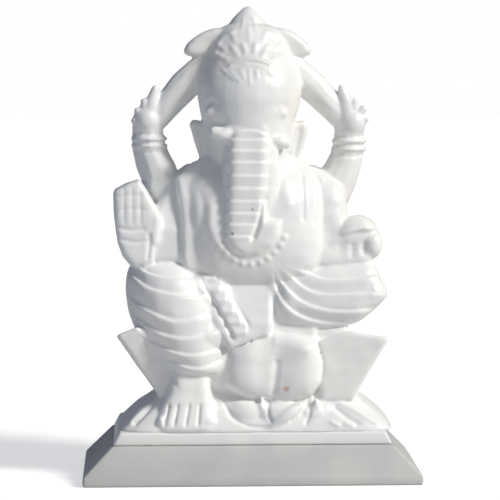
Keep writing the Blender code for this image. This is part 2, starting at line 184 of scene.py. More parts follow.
def flowing(points: Sequence[tuple[float, ...]], steps: int = 8) -> np.ndarray:
    """Draw a smooth line through points, as a hand would.

    Args:
        points: The points that the line passes through.
        steps: How many short straights each span gets.

    Returns:
        The points of the line.
    """
    rows = np.array(points, float)
    if len(rows) < 3:
        share = np.linspace(0, 1, steps + 1)[:, None]
        return rows[0] * (1 - share) + rows[-1] * share
    padded = np.vstack([2 * rows[0] - rows[1], rows, 2 * rows[-1] - rows[-2]])
    line = []
    for i in range(1, len(padded) - 2):
        p0, p1, p2, p3 = padded[i - 1 : i + 3]
        for t in np.linspace(0, 1, steps, endpoint=False):
            line.append(
                0.5
                * (
                    2 * p1
                    + (p2 - p0) * t
                    + (2 * p0 - 5 * p1 + 4 * p2 - p3) * t * t
                    + (3 * p1 - p0 - 3 * p2 + p3) * t**3
                )
            )
    line.append(rows[-1])
    return np.array(line)


@dataclass
class Stone:
    """The block: blank forms are added to it, fused, then carved.

    Attributes:
        grain: Size of the cells that the forms are fused in.
        settle: Smoothing passes after fusing, which round every crease.
        polish: Smoothing passes after carving.
        unevenness: Depth of the waves that hand carving leaves.
        waves: How many waves are laid over each other.
        wave_lengths: Their shortest and longest length.
        seed: Starts the waves' random draws.
    """

    grain: float = 0.42
    settle: int = 10
    polish: int = 1
    unevenness: float = 0.07
    waves: int = 14
    wave_lengths: tuple[float, float] = (4.0, 11.0)
    seed: int = 5
    forms: list[bpy.types.Object] = field(default_factory=list)
    body: bpy.types.Object | None = None

    def _keep(self, form: bpy.types.Object) -> bpy.types.Object:
        """Remember a form until the block is fused.

        Args:
            form: The new form.

        Returns:
            The same form.
        """
        self.forms.append(form)
        return form

    def loft(
        self, levels: Sequence[Level], square: float = 1.0, sides: int = 12
    ) -> bpy.types.Object:
        """Extrude a ring upwards through level sections.

        Args:
            levels: The sections, lowest first.
            square: 1 for a rounded section, down to about 0.3 for a boxy one.
            sides: How many sides the rounded cage has.

        Returns:
            The form.
        """
        deselect()
        if square < 1.0:
            bpy.ops.mesh.primitive_plane_add(size=2 * MM, location=(0, 0, 0))
            bpy.ops.object.mode_set(mode="EDIT")
            bpy.ops.mesh.select_all(action="SELECT")
            bpy.ops.mesh.bevel(offset=square * MM, segments=3, affect="VERTICES")
        else:
            bpy.ops.mesh.primitive_circle_add(
                vertices=sides, radius=MM, fill_type="NGON", location=(0, 0, 0)
            )
            bpy.ops.object.mode_set(mode="EDIT")
        bpy.ops.mesh.select_all(action="SELECT")
        swell = ROUND_SWELL if square >= 1.0 else 1.0 + BOXY_SWELL * square
        first = levels[0]
        bpy.ops.transform.resize(
            value=(first.half_x * swell, first.half_y * swell, 1.0), center_override=(0, 0, 0)
        )
        bpy.ops.transform.translate(value=(first.x * MM, first.y * MM, first.z * MM))
        for low, high in zip(levels, levels[1:]):
            rise = ((high.x - low.x) * MM, (high.y - low.y) * MM, (high.z - low.z) * MM)
            bpy.ops.mesh.extrude_region_move(TRANSFORM_OT_translate={"value": rise})
            bpy.ops.transform.resize(
                value=(high.half_x / low.half_x, high.half_y / low.half_y, 1.0),
                center_override=(high.x * MM, high.y * MM, high.z * MM),
            )
        bpy.ops.mesh.select_all(action="SELECT")
        bpy.ops.mesh.normals_make_consistent(inside=False)
        bpy.ops.object.mode_set(mode="OBJECT")
        form = bpy.context.active_object
        soften = form.modifiers.new("soften", "SUBSURF")
        soften.levels = soften.render_levels = 2
        apply_modifiers(form)
        return self._keep(form)

    def limb(self, joints: Sequence[Joint], flat: float = 1.0, steps: int = 6) -> bpy.types.Object:
        """Sweep a round section along a limb's middle line.

        Args:
            joints: Points of the middle line with radii.
            flat: Depth of the section over its width.
            steps: How finely the line is drawn.

        Returns:
            The form.
        """
        deselect()
        bpy.ops.curve.primitive_nurbs_path_add(location=(0, 0, 0))
        form = bpy.context.active_object
        curve = form.data
        line = flowing([tuple(joint) for joint in joints], steps)
        curve.splines.clear()
        spline = curve.splines.new("POLY")
        spline.points.add(len(line) - 1)
        for point, (x, y, z, radius) in zip(spline.points, line):
            point.co = (x * MM, y / flat * MM, z * MM, 1.0)
            point.radius = max(radius, 0.2)
        curve.bevel_depth = MM
        curve.bevel_resolution = 4
        curve.use_fill_caps = True
        curve.twist_mode = "MINIMUM"
        bpy.ops.object.convert(target="MESH")
        form = bpy.context.active_object
        bpy.ops.object.mode_set(mode="EDIT")
        bpy.ops.mesh.select_all(action="SELECT")
        bpy.ops.mesh.remove_doubles(threshold=WELD)
        bpy.ops.transform.resize(value=(1.0, flat, 1.0), center_override=(0, 0, 0))
        bpy.ops.mesh.normals_make_consistent(inside=False)
        bpy.ops.object.mode_set(mode="OBJECT")
        for end in (line[0], line[-1]):
            self.lump((end[0], end[1], end[2]), (end[3], end[3] * flat, end[3]))
        return self._keep(form)

    def plate(
        self, outline: Sequence[tuple[float, float]], front: float, back: float,
        rounding: float = 1.5, sharp: bool = False,
        fronts: Sequence[tuple[float, float]] | None = None,
        backs: Sequence[tuple[float, float]] | None = None,
        back_scale: tuple[float, float] = (1.0, 1.0),
    ) -> bpy.types.Object:
        """Cut a plate to an outline in the XZ plane, round its rims and lean its faces.

        Args:
            outline: Corner points, in order round the plate.
            front: Y of its front face.
            back: Y of its back face.
            rounding: Radius of its rims.
            sharp: Whether the outline keeps its corners.
            fronts: Y of the front face by height, as (z, y) pairs, where it isn't upright.
            backs: Y of the back face by height, where it isn't upright.
            back_scale: Size of the back outline over the front one, across and upwards.

        Returns:
            The form.
        """
        deselect()
        bpy.ops.curve.primitive_bezier_circle_add(location=(0, 0, 0))
        form = bpy.context.active_object
        curve = form.data
        curve.dimensions = "2D"
        curve.fill_mode = "BOTH"
        rows = np.array(outline, float)
        if not sharp:
            rows = flowing(
                [tuple(row) for row in np.vstack([rows[-2:], rows, rows[:2]])], 5
            )[10:-10]
        curve.splines.clear()
        spline = curve.splines.new("POLY")
        spline.points.add(len(rows) - 1)
        for point, (x, z) in zip(spline.points, rows):
            point.co = (x * MM, z * MM, 0.0, 1.0)
        spline.use_cyclic_u = True
        round_mm = min(rounding, (back - front) / 2 - 0.05)
        curve.extrude = ((back - front) / 2 - round_mm) * MM
        curve.bevel_depth = round_mm * MM
        curve.offset = -round_mm * MM
        curve.bevel_resolution = 3
        bpy.ops.object.convert(target="MESH")
        form = bpy.context.active_object
        bpy.ops.object.mode_set(mode="EDIT")
        bpy.ops.mesh.select_all(action="SELECT")
        bpy.ops.mesh.remove_doubles(threshold=WELD)
        bpy.ops.mesh.normals_make_consistent(inside=False)
        bpy.ops.object.mode_set(mode="OBJECT")
        points = coordinates(form.data)
        share = 0.5 - points[:, 2] / (back - front)
        height = points[:, 1]
        near = np.interp(height, *zip(*sorted(fronts))) if fronts else front
        far = np.interp(height, *zip(*sorted(backs))) if backs else back
        across = points[:, 0] * (1 + share * (back_scale[0] - 1))
        upward = SEAT_FOOT + (height - SEAT_FOOT) * (1 + share * (back_scale[1] - 1))
        turned = np.stack([across, near + share * (far - near), upward], axis=1)
        move_points(form.data, turned)
        return self._keep(form)

    def lump(
        self, centre: tuple[float, float, float], half: tuple[float, float, float],
        turn: float = 0.0,
    ) -> bpy.types.Object:
        """Add an egg-shaped lump.

        Args:
            centre: Its middle.
            half: Its half sizes along X, Y and Z.
            turn: Its turn in the XZ plane, in degrees.

        Returns:
            The form.
        """
        deselect()
        bpy.ops.mesh.primitive_uv_sphere_add(
            segments=20, ring_count=12, radius=MM, location=(0, 0, 0)
        )
        form = bpy.context.active_object
        points = coordinates(form.data) * np.array(half)
        angle = math.radians(turn)
        x = points[:, 0] * math.cos(angle) + points[:, 2] * math.sin(angle)
        z = -points[:, 0] * math.sin(angle) + points[:, 2] * math.cos(angle)
        move_points(form.data, np.stack([x, points[:, 1], z], axis=1) + np.array(centre))
        return self._keep(form)

    def fuse(self) -> None:
        """Make the forms one stone, with every crease a little rounded."""
        deselect()
        for form in self.forms:
            form.select_set(True)
        bpy.context.view_layer.objects.active = self.forms[0]
        bpy.ops.object.join()
        body = bpy.context.active_object
        body.name = "stone"
        body.data.materials.clear()
        cells = body.modifiers.new("cells", "REMESH")
        cells.mode = "VOXEL"
        cells.voxel_size = self.grain * MM
        cells.use_smooth_shade = True
        rub = body.modifiers.new("rub", "SMOOTH")
        rub.factor = 0.5
        rub.iterations = self.settle
        apply_modifiers(body)
        self.body = body
        self.forms = []
        LOG.info("fused stone: %d faces", len(body.data.polygons))

    def carve(self, strokes: Iterable[Stroke]) -> None:
        """Move the front surface under each stroke.

        Args:
            strokes: The chisel lines.
        """
        mesh = self.body.data
        points = coordinates(mesh)
        facing = normals(mesh)
        front = np.clip(-facing[:, 1] * FACING_GAIN, 0, 1)
        for stroke in strokes:
            line = flowing(stroke.points)
            span = stroke.width * 3 if stroke.cut is not Cut.STEP else stroke.reach * 2
            near = (
                (points[:, 0] > line[:, 0].min() - span)
                & (points[:, 0] < line[:, 0].max() + span)
                & (points[:, 2] > line[:, 1].min() - span)
                & (points[:, 2] < line[:, 1].max() + span)
                & (points[:, 1] < stroke.back)
                & (front > 0.02)
            )
            index = np.flatnonzero(near)
            if not len(index):
                continue
            distance, side, share = distance_to_line(points[index][:, [0, 2]], line)
            length = np.linalg.norm(np.diff(line, axis=0), axis=1).sum()
            tapers = stroke.cut is Cut.STEP or length > LONG_STROKE * stroke.width
            fade = np.clip(
                np.minimum(share, 1 - share) * END_GAIN + END_DEPTH,
                0, 1,
            ) if tapers else 1.0
            if stroke.cut is Cut.STEP:
                edge = 0.5 * (1 + np.tanh(side * distance / (STEP_SLOPE * stroke.width)))
                fall = np.exp(-((distance / stroke.reach) ** 2))
                amount = -stroke.depth * (edge - 0.5) * 2 * fall
            else:
                sign = -1.0 if stroke.cut is Cut.GROOVE else 1.0
                amount = sign * stroke.depth * np.exp(-((distance / stroke.width) ** 2))
            push = (amount * fade * front[index])[:, None] * facing[index]
            points[index] += push
        move_points(mesh, points)

    def finish_surface(self) -> None:
        """Leave the slight unevenness of hand work, then rub the surface down lightly."""
        mesh = self.body.data
        points = coordinates(mesh)
        chance = np.random.default_rng(self.seed)
        uneven = np.zeros(len(points))
        for _ in range(self.waves):
            heading = chance.normal(size=3)
            heading /= np.linalg.norm(heading)
            turns = math.tau / chance.uniform(*self.wave_lengths)
            uneven += np.sin(points @ heading * turns + chance.uniform(0, math.tau))
        depth = uneven * self.unevenness / self.waves**0.5
        move_points(mesh, points + normals(mesh) * depth[:, None])
        rub = self.body.modifiers.new("polish", "SMOOTH")
        rub.factor = 0.5
        rub.iterations = self.polish
        apply_modifiers(self.body)


def distance_to_line(points: np.ndarray, line: np.ndarray) -> tuple[
    np.ndarray, np.ndarray, np.ndarray,
]:
    """Measure points against a drawn line in the front plane.

    Args:
        points: Points as (x, z) rows.
        line: The line's points as (x, z) rows.

    Returns:
        The distance of each point, the side it lies on, and its place along the line, 0 to 1.
    """
    best = np.full(len(points), 1e9)
    side = np.ones(len(points))
    share = np.zeros(len(points))
    run = np.concatenate([[0], np.cumsum(np.linalg.norm(np.diff(line, axis=0), axis=1))])
    for i in range(len(line) - 1):
        start, span = line[i], line[i + 1] - line[i]
        length = max(float(span @ span), 1e-9)
        along = np.clip(((points - start) @ span) / length, 0, 1)
        away = points - (start + along[:, None] * span)
        distance = np.hypot(away[:, 0], away[:, 1])
        closer = distance < best
        best[closer] = distance[closer]
        cross = span[0] * away[:, 1] - span[1] * away[:, 0]
        side[closer] = np.sign(cross[closer]) + (cross[closer] == 0)
        share[closer] = (run[i] + along[closer] * (run[i + 1] - run[i])) / run[-1]
    return best, side, share


def linear(colour: str) -> tuple[float, float, float, float]:
    """Turn an sRGB hex colour into linear values.

    Args:
        colour: Six hex digits.

    Returns:
        Red, green, blue and alpha.
    """
    parts = [int(colour[i : i + 2], 16) / 255 for i in (0, 2, 4)]
    return tuple(
        c / 12.92 if c <= 0.04045 else ((c + 0.055) / 1.055) ** 2.4
        for c in parts
    ) + (1.0,)


def add_node(
    tree: bpy.types.NodeTree, kind: str, links: dict[str | int, bpy.types.NodeSocket] | None = None,
    values: dict[str | int, float | tuple] | None = None, **settings: object,
) -> bpy.types.Node:
    """Add one shader node.

    Args:
        tree: The material's node tree.
        kind: Blender's name for the node type.
        links: Sockets to join to the node's inputs.
        values: Constants for the node's inputs.
        **settings: The node's own properties.

    Returns:
        The node.
    """
    node = tree.nodes.new(kind)
    for name, value in settings.items():
        setattr(node, name, value)
    for name, value in (values or {}).items():
        node.inputs[name].default_value = value
    for name, socket in (links or {}).items():
        tree.links.new(socket, node.inputs[name])
    return node


@dataclass(frozen=True)
class Marble:
    """Fine white marble, carved by hand and rubbed to a soft polish.

    The crystals are small and bright, so the stone is nearly white, and a few faint grey and honey
    veins cross it. Its creases carry painted shade: a darker, warmer colour where less light
    reaches and where light glows through the stone.
    """

    name: str = "white_marble_hand_polished"
    body_colour: str = "f1f1ef"
    cloud_colour: str = "e6e8ea"
    painted_crease_shade_colour: str = "dcd4c6"
    vein_colour: str = "d9c7ae"
    specks: tuple[tuple[float, float, float, float, str], ...] = ()
    cloud_mm: float = 26.0
    vein_mm: float = 136.688
    vein_strength: float = 0.12
    # Real crystals, of 0.1 to 0.5 mm, wouldn't show, so they are drawn a little coarser.
    crystal_mm: float = 0.7
    chisel_mm: float = 5.0
    roughness: float = 0.38

    def material(self) -> bpy.types.Material:
        """Build the marble's nodes.

        Returns:
            The material.
        """
        made = bpy.data.materials.new(self.name)
        made.use_nodes = True
        tree = made.node_tree
        shader = tree.nodes["Principled BSDF"]
        place = add_node(tree, "ShaderNodeTexCoord").outputs["Object"]
        clouds = add_node(
            tree, "ShaderNodeTexNoise", {"Vector": place},
            {
                "Scale": 1 / (self.cloud_mm * MM), "Detail": 5.0, "Roughness": 0.55,
                "Distortion": 0.6,
            },
        )
        cloud_mask = add_node(
            tree, "ShaderNodeMapRange", {"Value": clouds.outputs["Fac"]},
            {"From Min": 0.42, "From Max": 0.68, "To Min": 0.0, "To Max": 1.0},
        )
        stone = add_node(
            tree, "ShaderNodeMix", {"Factor": cloud_mask.outputs["Result"]},
            {6: linear(self.body_colour), 7: linear(self.cloud_colour)}, data_type="RGBA",
        )
        # Diagonal bands repeat every tau / 10 / sqrt(3) units, measured across them.
        veins = add_node(
            tree, "ShaderNodeTexWave", {"Vector": place},
            {
                "Scale": math.tau / 10 / 3**0.5 / (self.vein_mm * MM),
                "Distortion": 9.0, "Detail": 4.0, "Detail Scale": 1.4,
            },
            wave_type="BANDS", bands_direction="DIAGONAL", wave_profile="SIN",
        )
        vein_mask = add_node(
            tree, "ShaderNodeMapRange", {"Value": veins.outputs["Fac"]},
            {"From Min": 0.972, "From Max": 1.0, "To Min": 0.0, "To Max": self.vein_strength},
        )
        veined = add_node(
            tree, "ShaderNodeMix", {"Factor": vein_mask.outputs["Result"], 6: stone.outputs[2]},
            {7: linear(self.vein_colour)}, data_type="RGBA",
        )
        # Painted shade: the occlusion node finds creases and hollows, and the colour there is
        # darkened and warmed.
        crease = add_node(tree, "ShaderNodeAmbientOcclusion", None, {"Distance": 4 * MM}, samples=6)
        painted_shade_mask = add_node(
            tree, "ShaderNodeMapRange", {"Value": crease.outputs["AO"]},
            {"From Min": 0.1, "From Max": 0.6, "To Min": 0.22, "To Max": 0.0},
        )
        with_painted_shade = add_node(
            tree, "ShaderNodeMix", {"Factor": painted_shade_mask.outputs["Result"], 6: veined.outputs[2]},
            {7: linear(self.painted_crease_shade_colour)}, data_type="RGBA",
        )
        colour = with_painted_shade.outputs[2]
        flattened = add_node(
            tree, "ShaderNodeVectorMath", {0: place}, {1: (1.0, 0.2, 1.0)}, operation="MULTIPLY"
        )
        for x, y, z, radius, hexed in self.specks:
            away = add_node(
                tree, "ShaderNodeVectorMath", {0: flattened.outputs[0]},
                {1: (x * MM, 0.2 * y * MM, z * MM)}, operation="DISTANCE",
            )
            spot = add_node(
                tree, "ShaderNodeMapRange", {"Value": away.outputs["Value"]},
                {
                    "From Min": radius * 0.4 * MM, "From Max": radius * MM, "To Min": 0.8,
                    "To Max": 0.0,
                },
            )
            colour = add_node(
                tree, "ShaderNodeMix", {"Factor": spot.outputs["Result"], 6: colour},
                {7: linear(hexed)}, data_type="RGBA",
            ).outputs[2]
        tree.links.new(colour, shader.inputs["Base Color"])
        crystals = add_node(
            tree, "ShaderNodeTexNoise", {"Vector": place},
            {"Scale": 1 / (self.crystal_mm * MM), "Detail": 2.0, "Roughness": 0.6},
        )
        tooling = add_node(
            tree, "ShaderNodeTexNoise", {"Vector": place},
            {"Scale": 1 / (self.chisel_mm * MM), "Detail": 3.0, "Roughness": 0.5},
        )
        sheen = add_node(
            tree, "ShaderNodeMapRange", {"Value": tooling.outputs["Fac"]},
            {
                "From Min": 0.3, "From Max": 0.7, "To Min": self.roughness - 0.05,
                "To Max": self.roughness + 0.08,
            },
        )
        tree.links.new(sheen.outputs["Result"], shader.inputs["Roughness"])
        wavy = add_node(
            tree, "ShaderNodeBump", {"Height": tooling.outputs["Fac"]},
            {"Strength": 0.16, "Distance": 0.5 * MM},
        )
        grainy = add_node(
            tree, "ShaderNodeBump",
            {"Height": crystals.outputs["Fac"], "Normal": wavy.outputs["Normal"]},
            {"Strength": 0.10, "Distance": 0.12 * MM},
        )
        tree.links.new(grainy.outputs["Normal"], shader.inputs["Normal"])
        shader.inputs["IOR"].default_value = 1.49
        return made


@dataclass
class Feature:
    """A carved sub-assembly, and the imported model's nodes that it stands for."""

    nodes: tuple[str, ...] = ()

    def dress(self, pieces: dict[str, bpy.types.Object], marble: bpy.types.Material) -> None:
        """Give each of its pieces its finish, and hand it over.

        Args:
            pieces: All the pieces by CAD node name.
            marble: Their finish.
        """
        for node in self.nodes:
            hand_over(pieces[node], node, marble)


@dataclass
class Plinth:
    """The flared plinth and the thin slab on it."""

    half_width: float = 53.8
    half_depth: float = 26.0
    lip: float = 3.0
    top_z: float = 12.4
    top_half_width: float = 44.6
    top_half_depth: float = 22.6
    slab_top_z: float = 16.6
    slab_half_width: float = 44.4
    slab_half_depth: float = 21.6
    slab_draft: float = 2.2
    edge: float = 0.9

    def _block(
        self, name: str, low: float, high: float, half_width: float, half_depth: float
    ) -> bpy.types.Object:
        """Add a rectangular block of stone.

        Args:
            name: The piece's name.
            low: Height of its underside.
            high: Height of its top.
            half_width: Half its width.
            half_depth: Half its depth.

        Returns:
            The block, in object mode.
        """
        deselect()
        bpy.ops.mesh.primitive_cube_add(size=1.0, location=(0, 0, 0))
        piece = bpy.context.active_object
        piece.name = name
        bpy.ops.object.mode_set(mode="EDIT")
        bpy.ops.mesh.select_all(action="SELECT")
        size = (2 * half_width * MM, 2 * half_depth * MM, (high - low) * MM)
        bpy.ops.transform.resize(value=size, center_override=(0, 0, 0))
        bpy.ops.transform.translate(value=(0, 0, (low + high) / 2 * MM))
        bpy.ops.object.mode_set(mode="OBJECT")
        return piece

    def _select_top(self, piece: bpy.types.Object) -> None:
        """Enter edit mode with a block's top face selected.

        Args:
            piece: The block.
        """
        bpy.ops.object.mode_set(mode="EDIT")
        bpy.ops.mesh.select_all(action="DESELECT")
        for face in bmesh.from_edit_mesh(piece.data).faces:
            face.select_set(face.normal.z > 0.9)
        bmesh.update_edit_mesh(piece.data)

    def _ease_edges(self, piece: bpy.types.Object) -> None:
        """Round a block's edges as rubbing does.

        Args:
            piece: The block.
        """
        bpy.ops.object.mode_set(mode="OBJECT")
        cut = piece.modifiers.new("eased edges", "BEVEL")
        cut.width = self.edge * MM
        cut.segments = 4
        cut.limit_method = "ANGLE"
        apply_modifiers(piece)
        bpy.ops.object.shade_smooth_by_angle(angle=math.radians(35))

    def build(self) -> dict[str, bpy.types.Object]:
        """Build both blocks.

        Returns:
            The pieces by CAD node name.
        """
        plinth = self._block("plinth_marble", 0.0, self.lip, self.half_width, self.half_depth)
        self._select_top(plinth)
        rise = (0, 0, (self.top_z - self.lip) * MM)
        bpy.ops.mesh.extrude_region_move(TRANSFORM_OT_translate={"value": rise})
        shrink = (self.top_half_width / self.half_width, self.top_half_depth / self.half_depth, 1.0)
        bpy.ops.transform.resize(value=shrink, center_override=(0, 0, self.top_z * MM))
        self._ease_edges(plinth)
        slab = self._block(
            "plinth_slab_marble", self.top_z, self.slab_top_z, self.slab_half_width,
            self.slab_half_depth,
        )
        self._select_top(slab)
        share = (self.slab_half_width - self.slab_draft) / self.slab_half_width
        bpy.ops.transform.resize(
            value=(share, 1.0, 1.0), center_override=(0, 0, self.slab_top_z * MM)
        )
        self._ease_edges(slab)
        return {"plinth": plinth, "plinth_slab": slab}

    def dress(
        self, pieces: dict[str, bpy.types.Object], sawn: bpy.types.Material,
        rubbed: bpy.types.Material,
    ) -> None:
        """Finish the plinth as sawn stone and the slab as rubbed stone.

        Args:
            pieces: All the pieces by CAD node name.
            sawn: The plinth's finish.
            rubbed: The slab's finish.
        """
        hand_over(pieces["plinth"], "plinth", sawn)
        hand_over(pieces["plinth_slab"], "plinth_slab", rubbed)


@dataclass
class LotusSeat(Feature):
    """The double lotus: a folded-down lower half, petals flaring up above the waist."""

    nodes: tuple[str, ...] = (
        "lotus_base", "lotus_seat", "seat_petal_right", "seat_petal_left", "front_petal_right",
        "front_petal_left",
    )
    dome: tuple[Level, ...] = (
        Level(15.6, 1.2, -0.4, 44.4, 21.3), Level(16.8, 1.4, -0.4, 43.7, 21.1),
        Level(19.8, 1.8, -0.4, 41.0, 20.2), Level(22.1, 1.6, -0.4, 38.4, 19.0),
        Level(24.2, 1.8, -0.4, 35.4, 17.6), Level(25.8, 1.6, -0.4, 33.0, 16.2),
        Level(27.4, 2.0, -0.4, 31.0, 15.0), Level(31.0, 2.0, -0.4, 30.0, 13.4),
    )
    back_petals: Outline = (
        (-36.0, 45.0), (-28.0, 49.6), (30.0, 49.6), (37.0, 44.6), (29.6, 27.6), (0.0, 24.0),
        (-27.6, 27.4),
    )
    right_petal: Outline = (
        (-43.0, 46.8), (-42.4, 47.8), (-36.6, 50.2), (-31.0, 47.6), (-23.4, 33.4), (-22.6, 26.0),
        (-29.2, 26.4),
    )
    left_petal: Outline = (
        (20.6, 44.8), (26.7, 47.2), (31.6, 48.2), (43.6, 46.3), (33.2, 27.8), (32.0, 25.6),
        (21.8, 25.6), (21.6, 31.0), (22.4, 37.0),
    )
    front_petals: Outline = (
        (-9.4, 36.3), (-7.6, 42.4), (-4.8, 45.6), (-0.6, 48.0), (4.2, 49.3), (6.6, 49.6),
        (10.6, 48.2), (21.0, 46.2), (22.0, 44.4), (22.9, 38.0), (22.0, 32.0), (18.8, 26.8),
        (12.1, 25.4), (2.0, 26.0), (-5.0, 27.4), (-8.8, 30.6),
    )

    def rough_out(self, stone: Stone) -> None:
        """Add the seat's blank forms.

        Args:
            stone: The block.
        """
        stone.loft(self.dome, square=0.3)
        stone.plate(
            self.back_petals, -15.5, 16.0, 2.4, sharp=True,
            fronts=((24.0, -14.0), (34.0, -15.4), (50.0, -16.0)),
            backs=((24.0, 12.6), (36.0, 14.4), (50.0, 17.4)), back_scale=(0.96, 0.88),
        )
        stone.plate(
            self.right_petal, -17.4, 13.0, 1.3, sharp=True,
            fronts=((26.0, -13.8), (36.0, -16.4), (50.0, -19.2)),
            backs=((26.0, 11.8), (46.0, 15.0)), back_scale=(0.95, 0.84),
        )
        stone.plate(
            self.left_petal, -18.2, 13.0, 1.2, sharp=True,
            fronts=((26.0, -17.2), (36.0, -18.2), (48.0, -18.9)),
            backs=((26.0, 11.8), (46.0, 15.0)), back_scale=(0.95, 0.84),
        )
        stone.plate(
            self.front_petals, -20.2, -4.0, 4.6, sharp=True,
            fronts=((26.0, -19.8), (34.0, -20.1), (42.0, -19.7), (50.0, -17.6)),
        )
        stone.lump((-3.0, -11.6, 37.0), (8.0, 7.0, 13.0))
        stone.lump((-9.6, -12.4, 37.0), (6.4, 5.6, 9.0))
        stone.lump((22.8, -11.6, 38.0), (5.4, 6.2, 11.4))

    def strokes(self) -> list[Stroke]:
        """List the seat's chisel lines.

        Returns:
            The strokes.
        """
        return [
            Stroke(((15.2, 41.0), (15.6, 37.0), (14.8, 34.0)), 1.4, 5.4, Cut.RIDGE),
            Stroke(((-1.0, 40.0), (-1.4, 37.0), (-1.4, 34.0)), 1.0, 5.2, Cut.RIDGE),
            Stroke(((6.0, 46.0), (13.0, 45.0), (19.0, 42.0)), 0.6, 2.2, Cut.RIDGE),
            Stroke(((7.6, 39.8), (7.3, 35.5), (6.8, 31.0), (6.4, 27.4)), 0.6, 1.2),
            Stroke(((-35.0, 46.8), (-32.2, 43.0), (-27.4, 36.2), (-23.9, 30.6)), 0.45, 0.8),
            Stroke(((27.0, 25.4), (33.0, 22.6), (40.0, 18.6)), 0.5, 0.8, Cut.RIDGE),
            Stroke(((25.6, 24.2), (30.4, 20.6), (34.0, 18.6)), 0.5, 0.8),
            Stroke(((-30.4, 26.2), (-34.0, 22.6), (-38.0, 18.6)), 0.9, 0.7),
            Stroke(((-32.0, 25.8), (-35.4, 22.6), (-39.0, 18.8)), 0.5, 0.6, Cut.RIDGE),
            Stroke(((-9.6, 28.4), (2.0, 26.0), (12.0, 25.6), (20.0, 27.4)), 0.5, 0.9),
        ]


@dataclass
class Mouse(Feature):
    """The mouse in low, angular relief in front of the seat."""

    nodes: tuple[str, ...] = ("mouse",)

    def rough_out(self, stone: Stone) -> None:
        """Add the mouse's blank forms.

        Args:
            stone: The block.
        """
        stone.lump((-1.6, -15.8, 22.0), (7.4, 5.0, 5.0))
        stone.lump((8.6, -16.8, 21.6), (9.6, 4.6, 5.0))
        stone.lump((19.4, -16.0, 21.4), (6.6, 4.4, 4.2))
        stone.lump((2.8, -18.8, 24.2), (1.3, 1.5, 3.2))
        stone.limb(
            [
                Joint(6.2, -20.2, 18.8, 1.5), Joint(10.6, -20.4, 21.8, 2.0),
                Joint(15.2, -19.4, 24.8, 1.3),
            ]
        )
        stone.lump((20.2, -18.4, 24.0), (1.2, 1.5, 3.0))
        stone.lump((23.5, -17.8, 22.4), (1.2, 1.4, 2.4))

    def strokes(self) -> list[Stroke]:
        """List the mouse's chisel lines.

        Returns:
            The strokes.
        """
        return [
            Stroke(((-9.2, 26.4), (-6.8, 21.6), (-2.0, 18.8), (4.4, 18.0)), 0.5, 0.6),
            Stroke(((5.0, 26.4), (4.8, 22.4), (6.0, 19.4)), 0.5, 0.6),
            Stroke(((17.6, 26.0), (18.0, 22.4), (16.6, 18.8)), 0.6, 0.6),
            Stroke(((11.4, 19.6), (15.4, 22.4), (17.0, 25.0)), 0.5, 0.6),
            Stroke(((25.0, 19.4), (27.0, 18.6)), 0.4, 0.6, Cut.RIDGE),
            Stroke(((29.6, 19.0), (31.6, 18.4)), 0.4, 0.6, Cut.RIDGE),
        ]


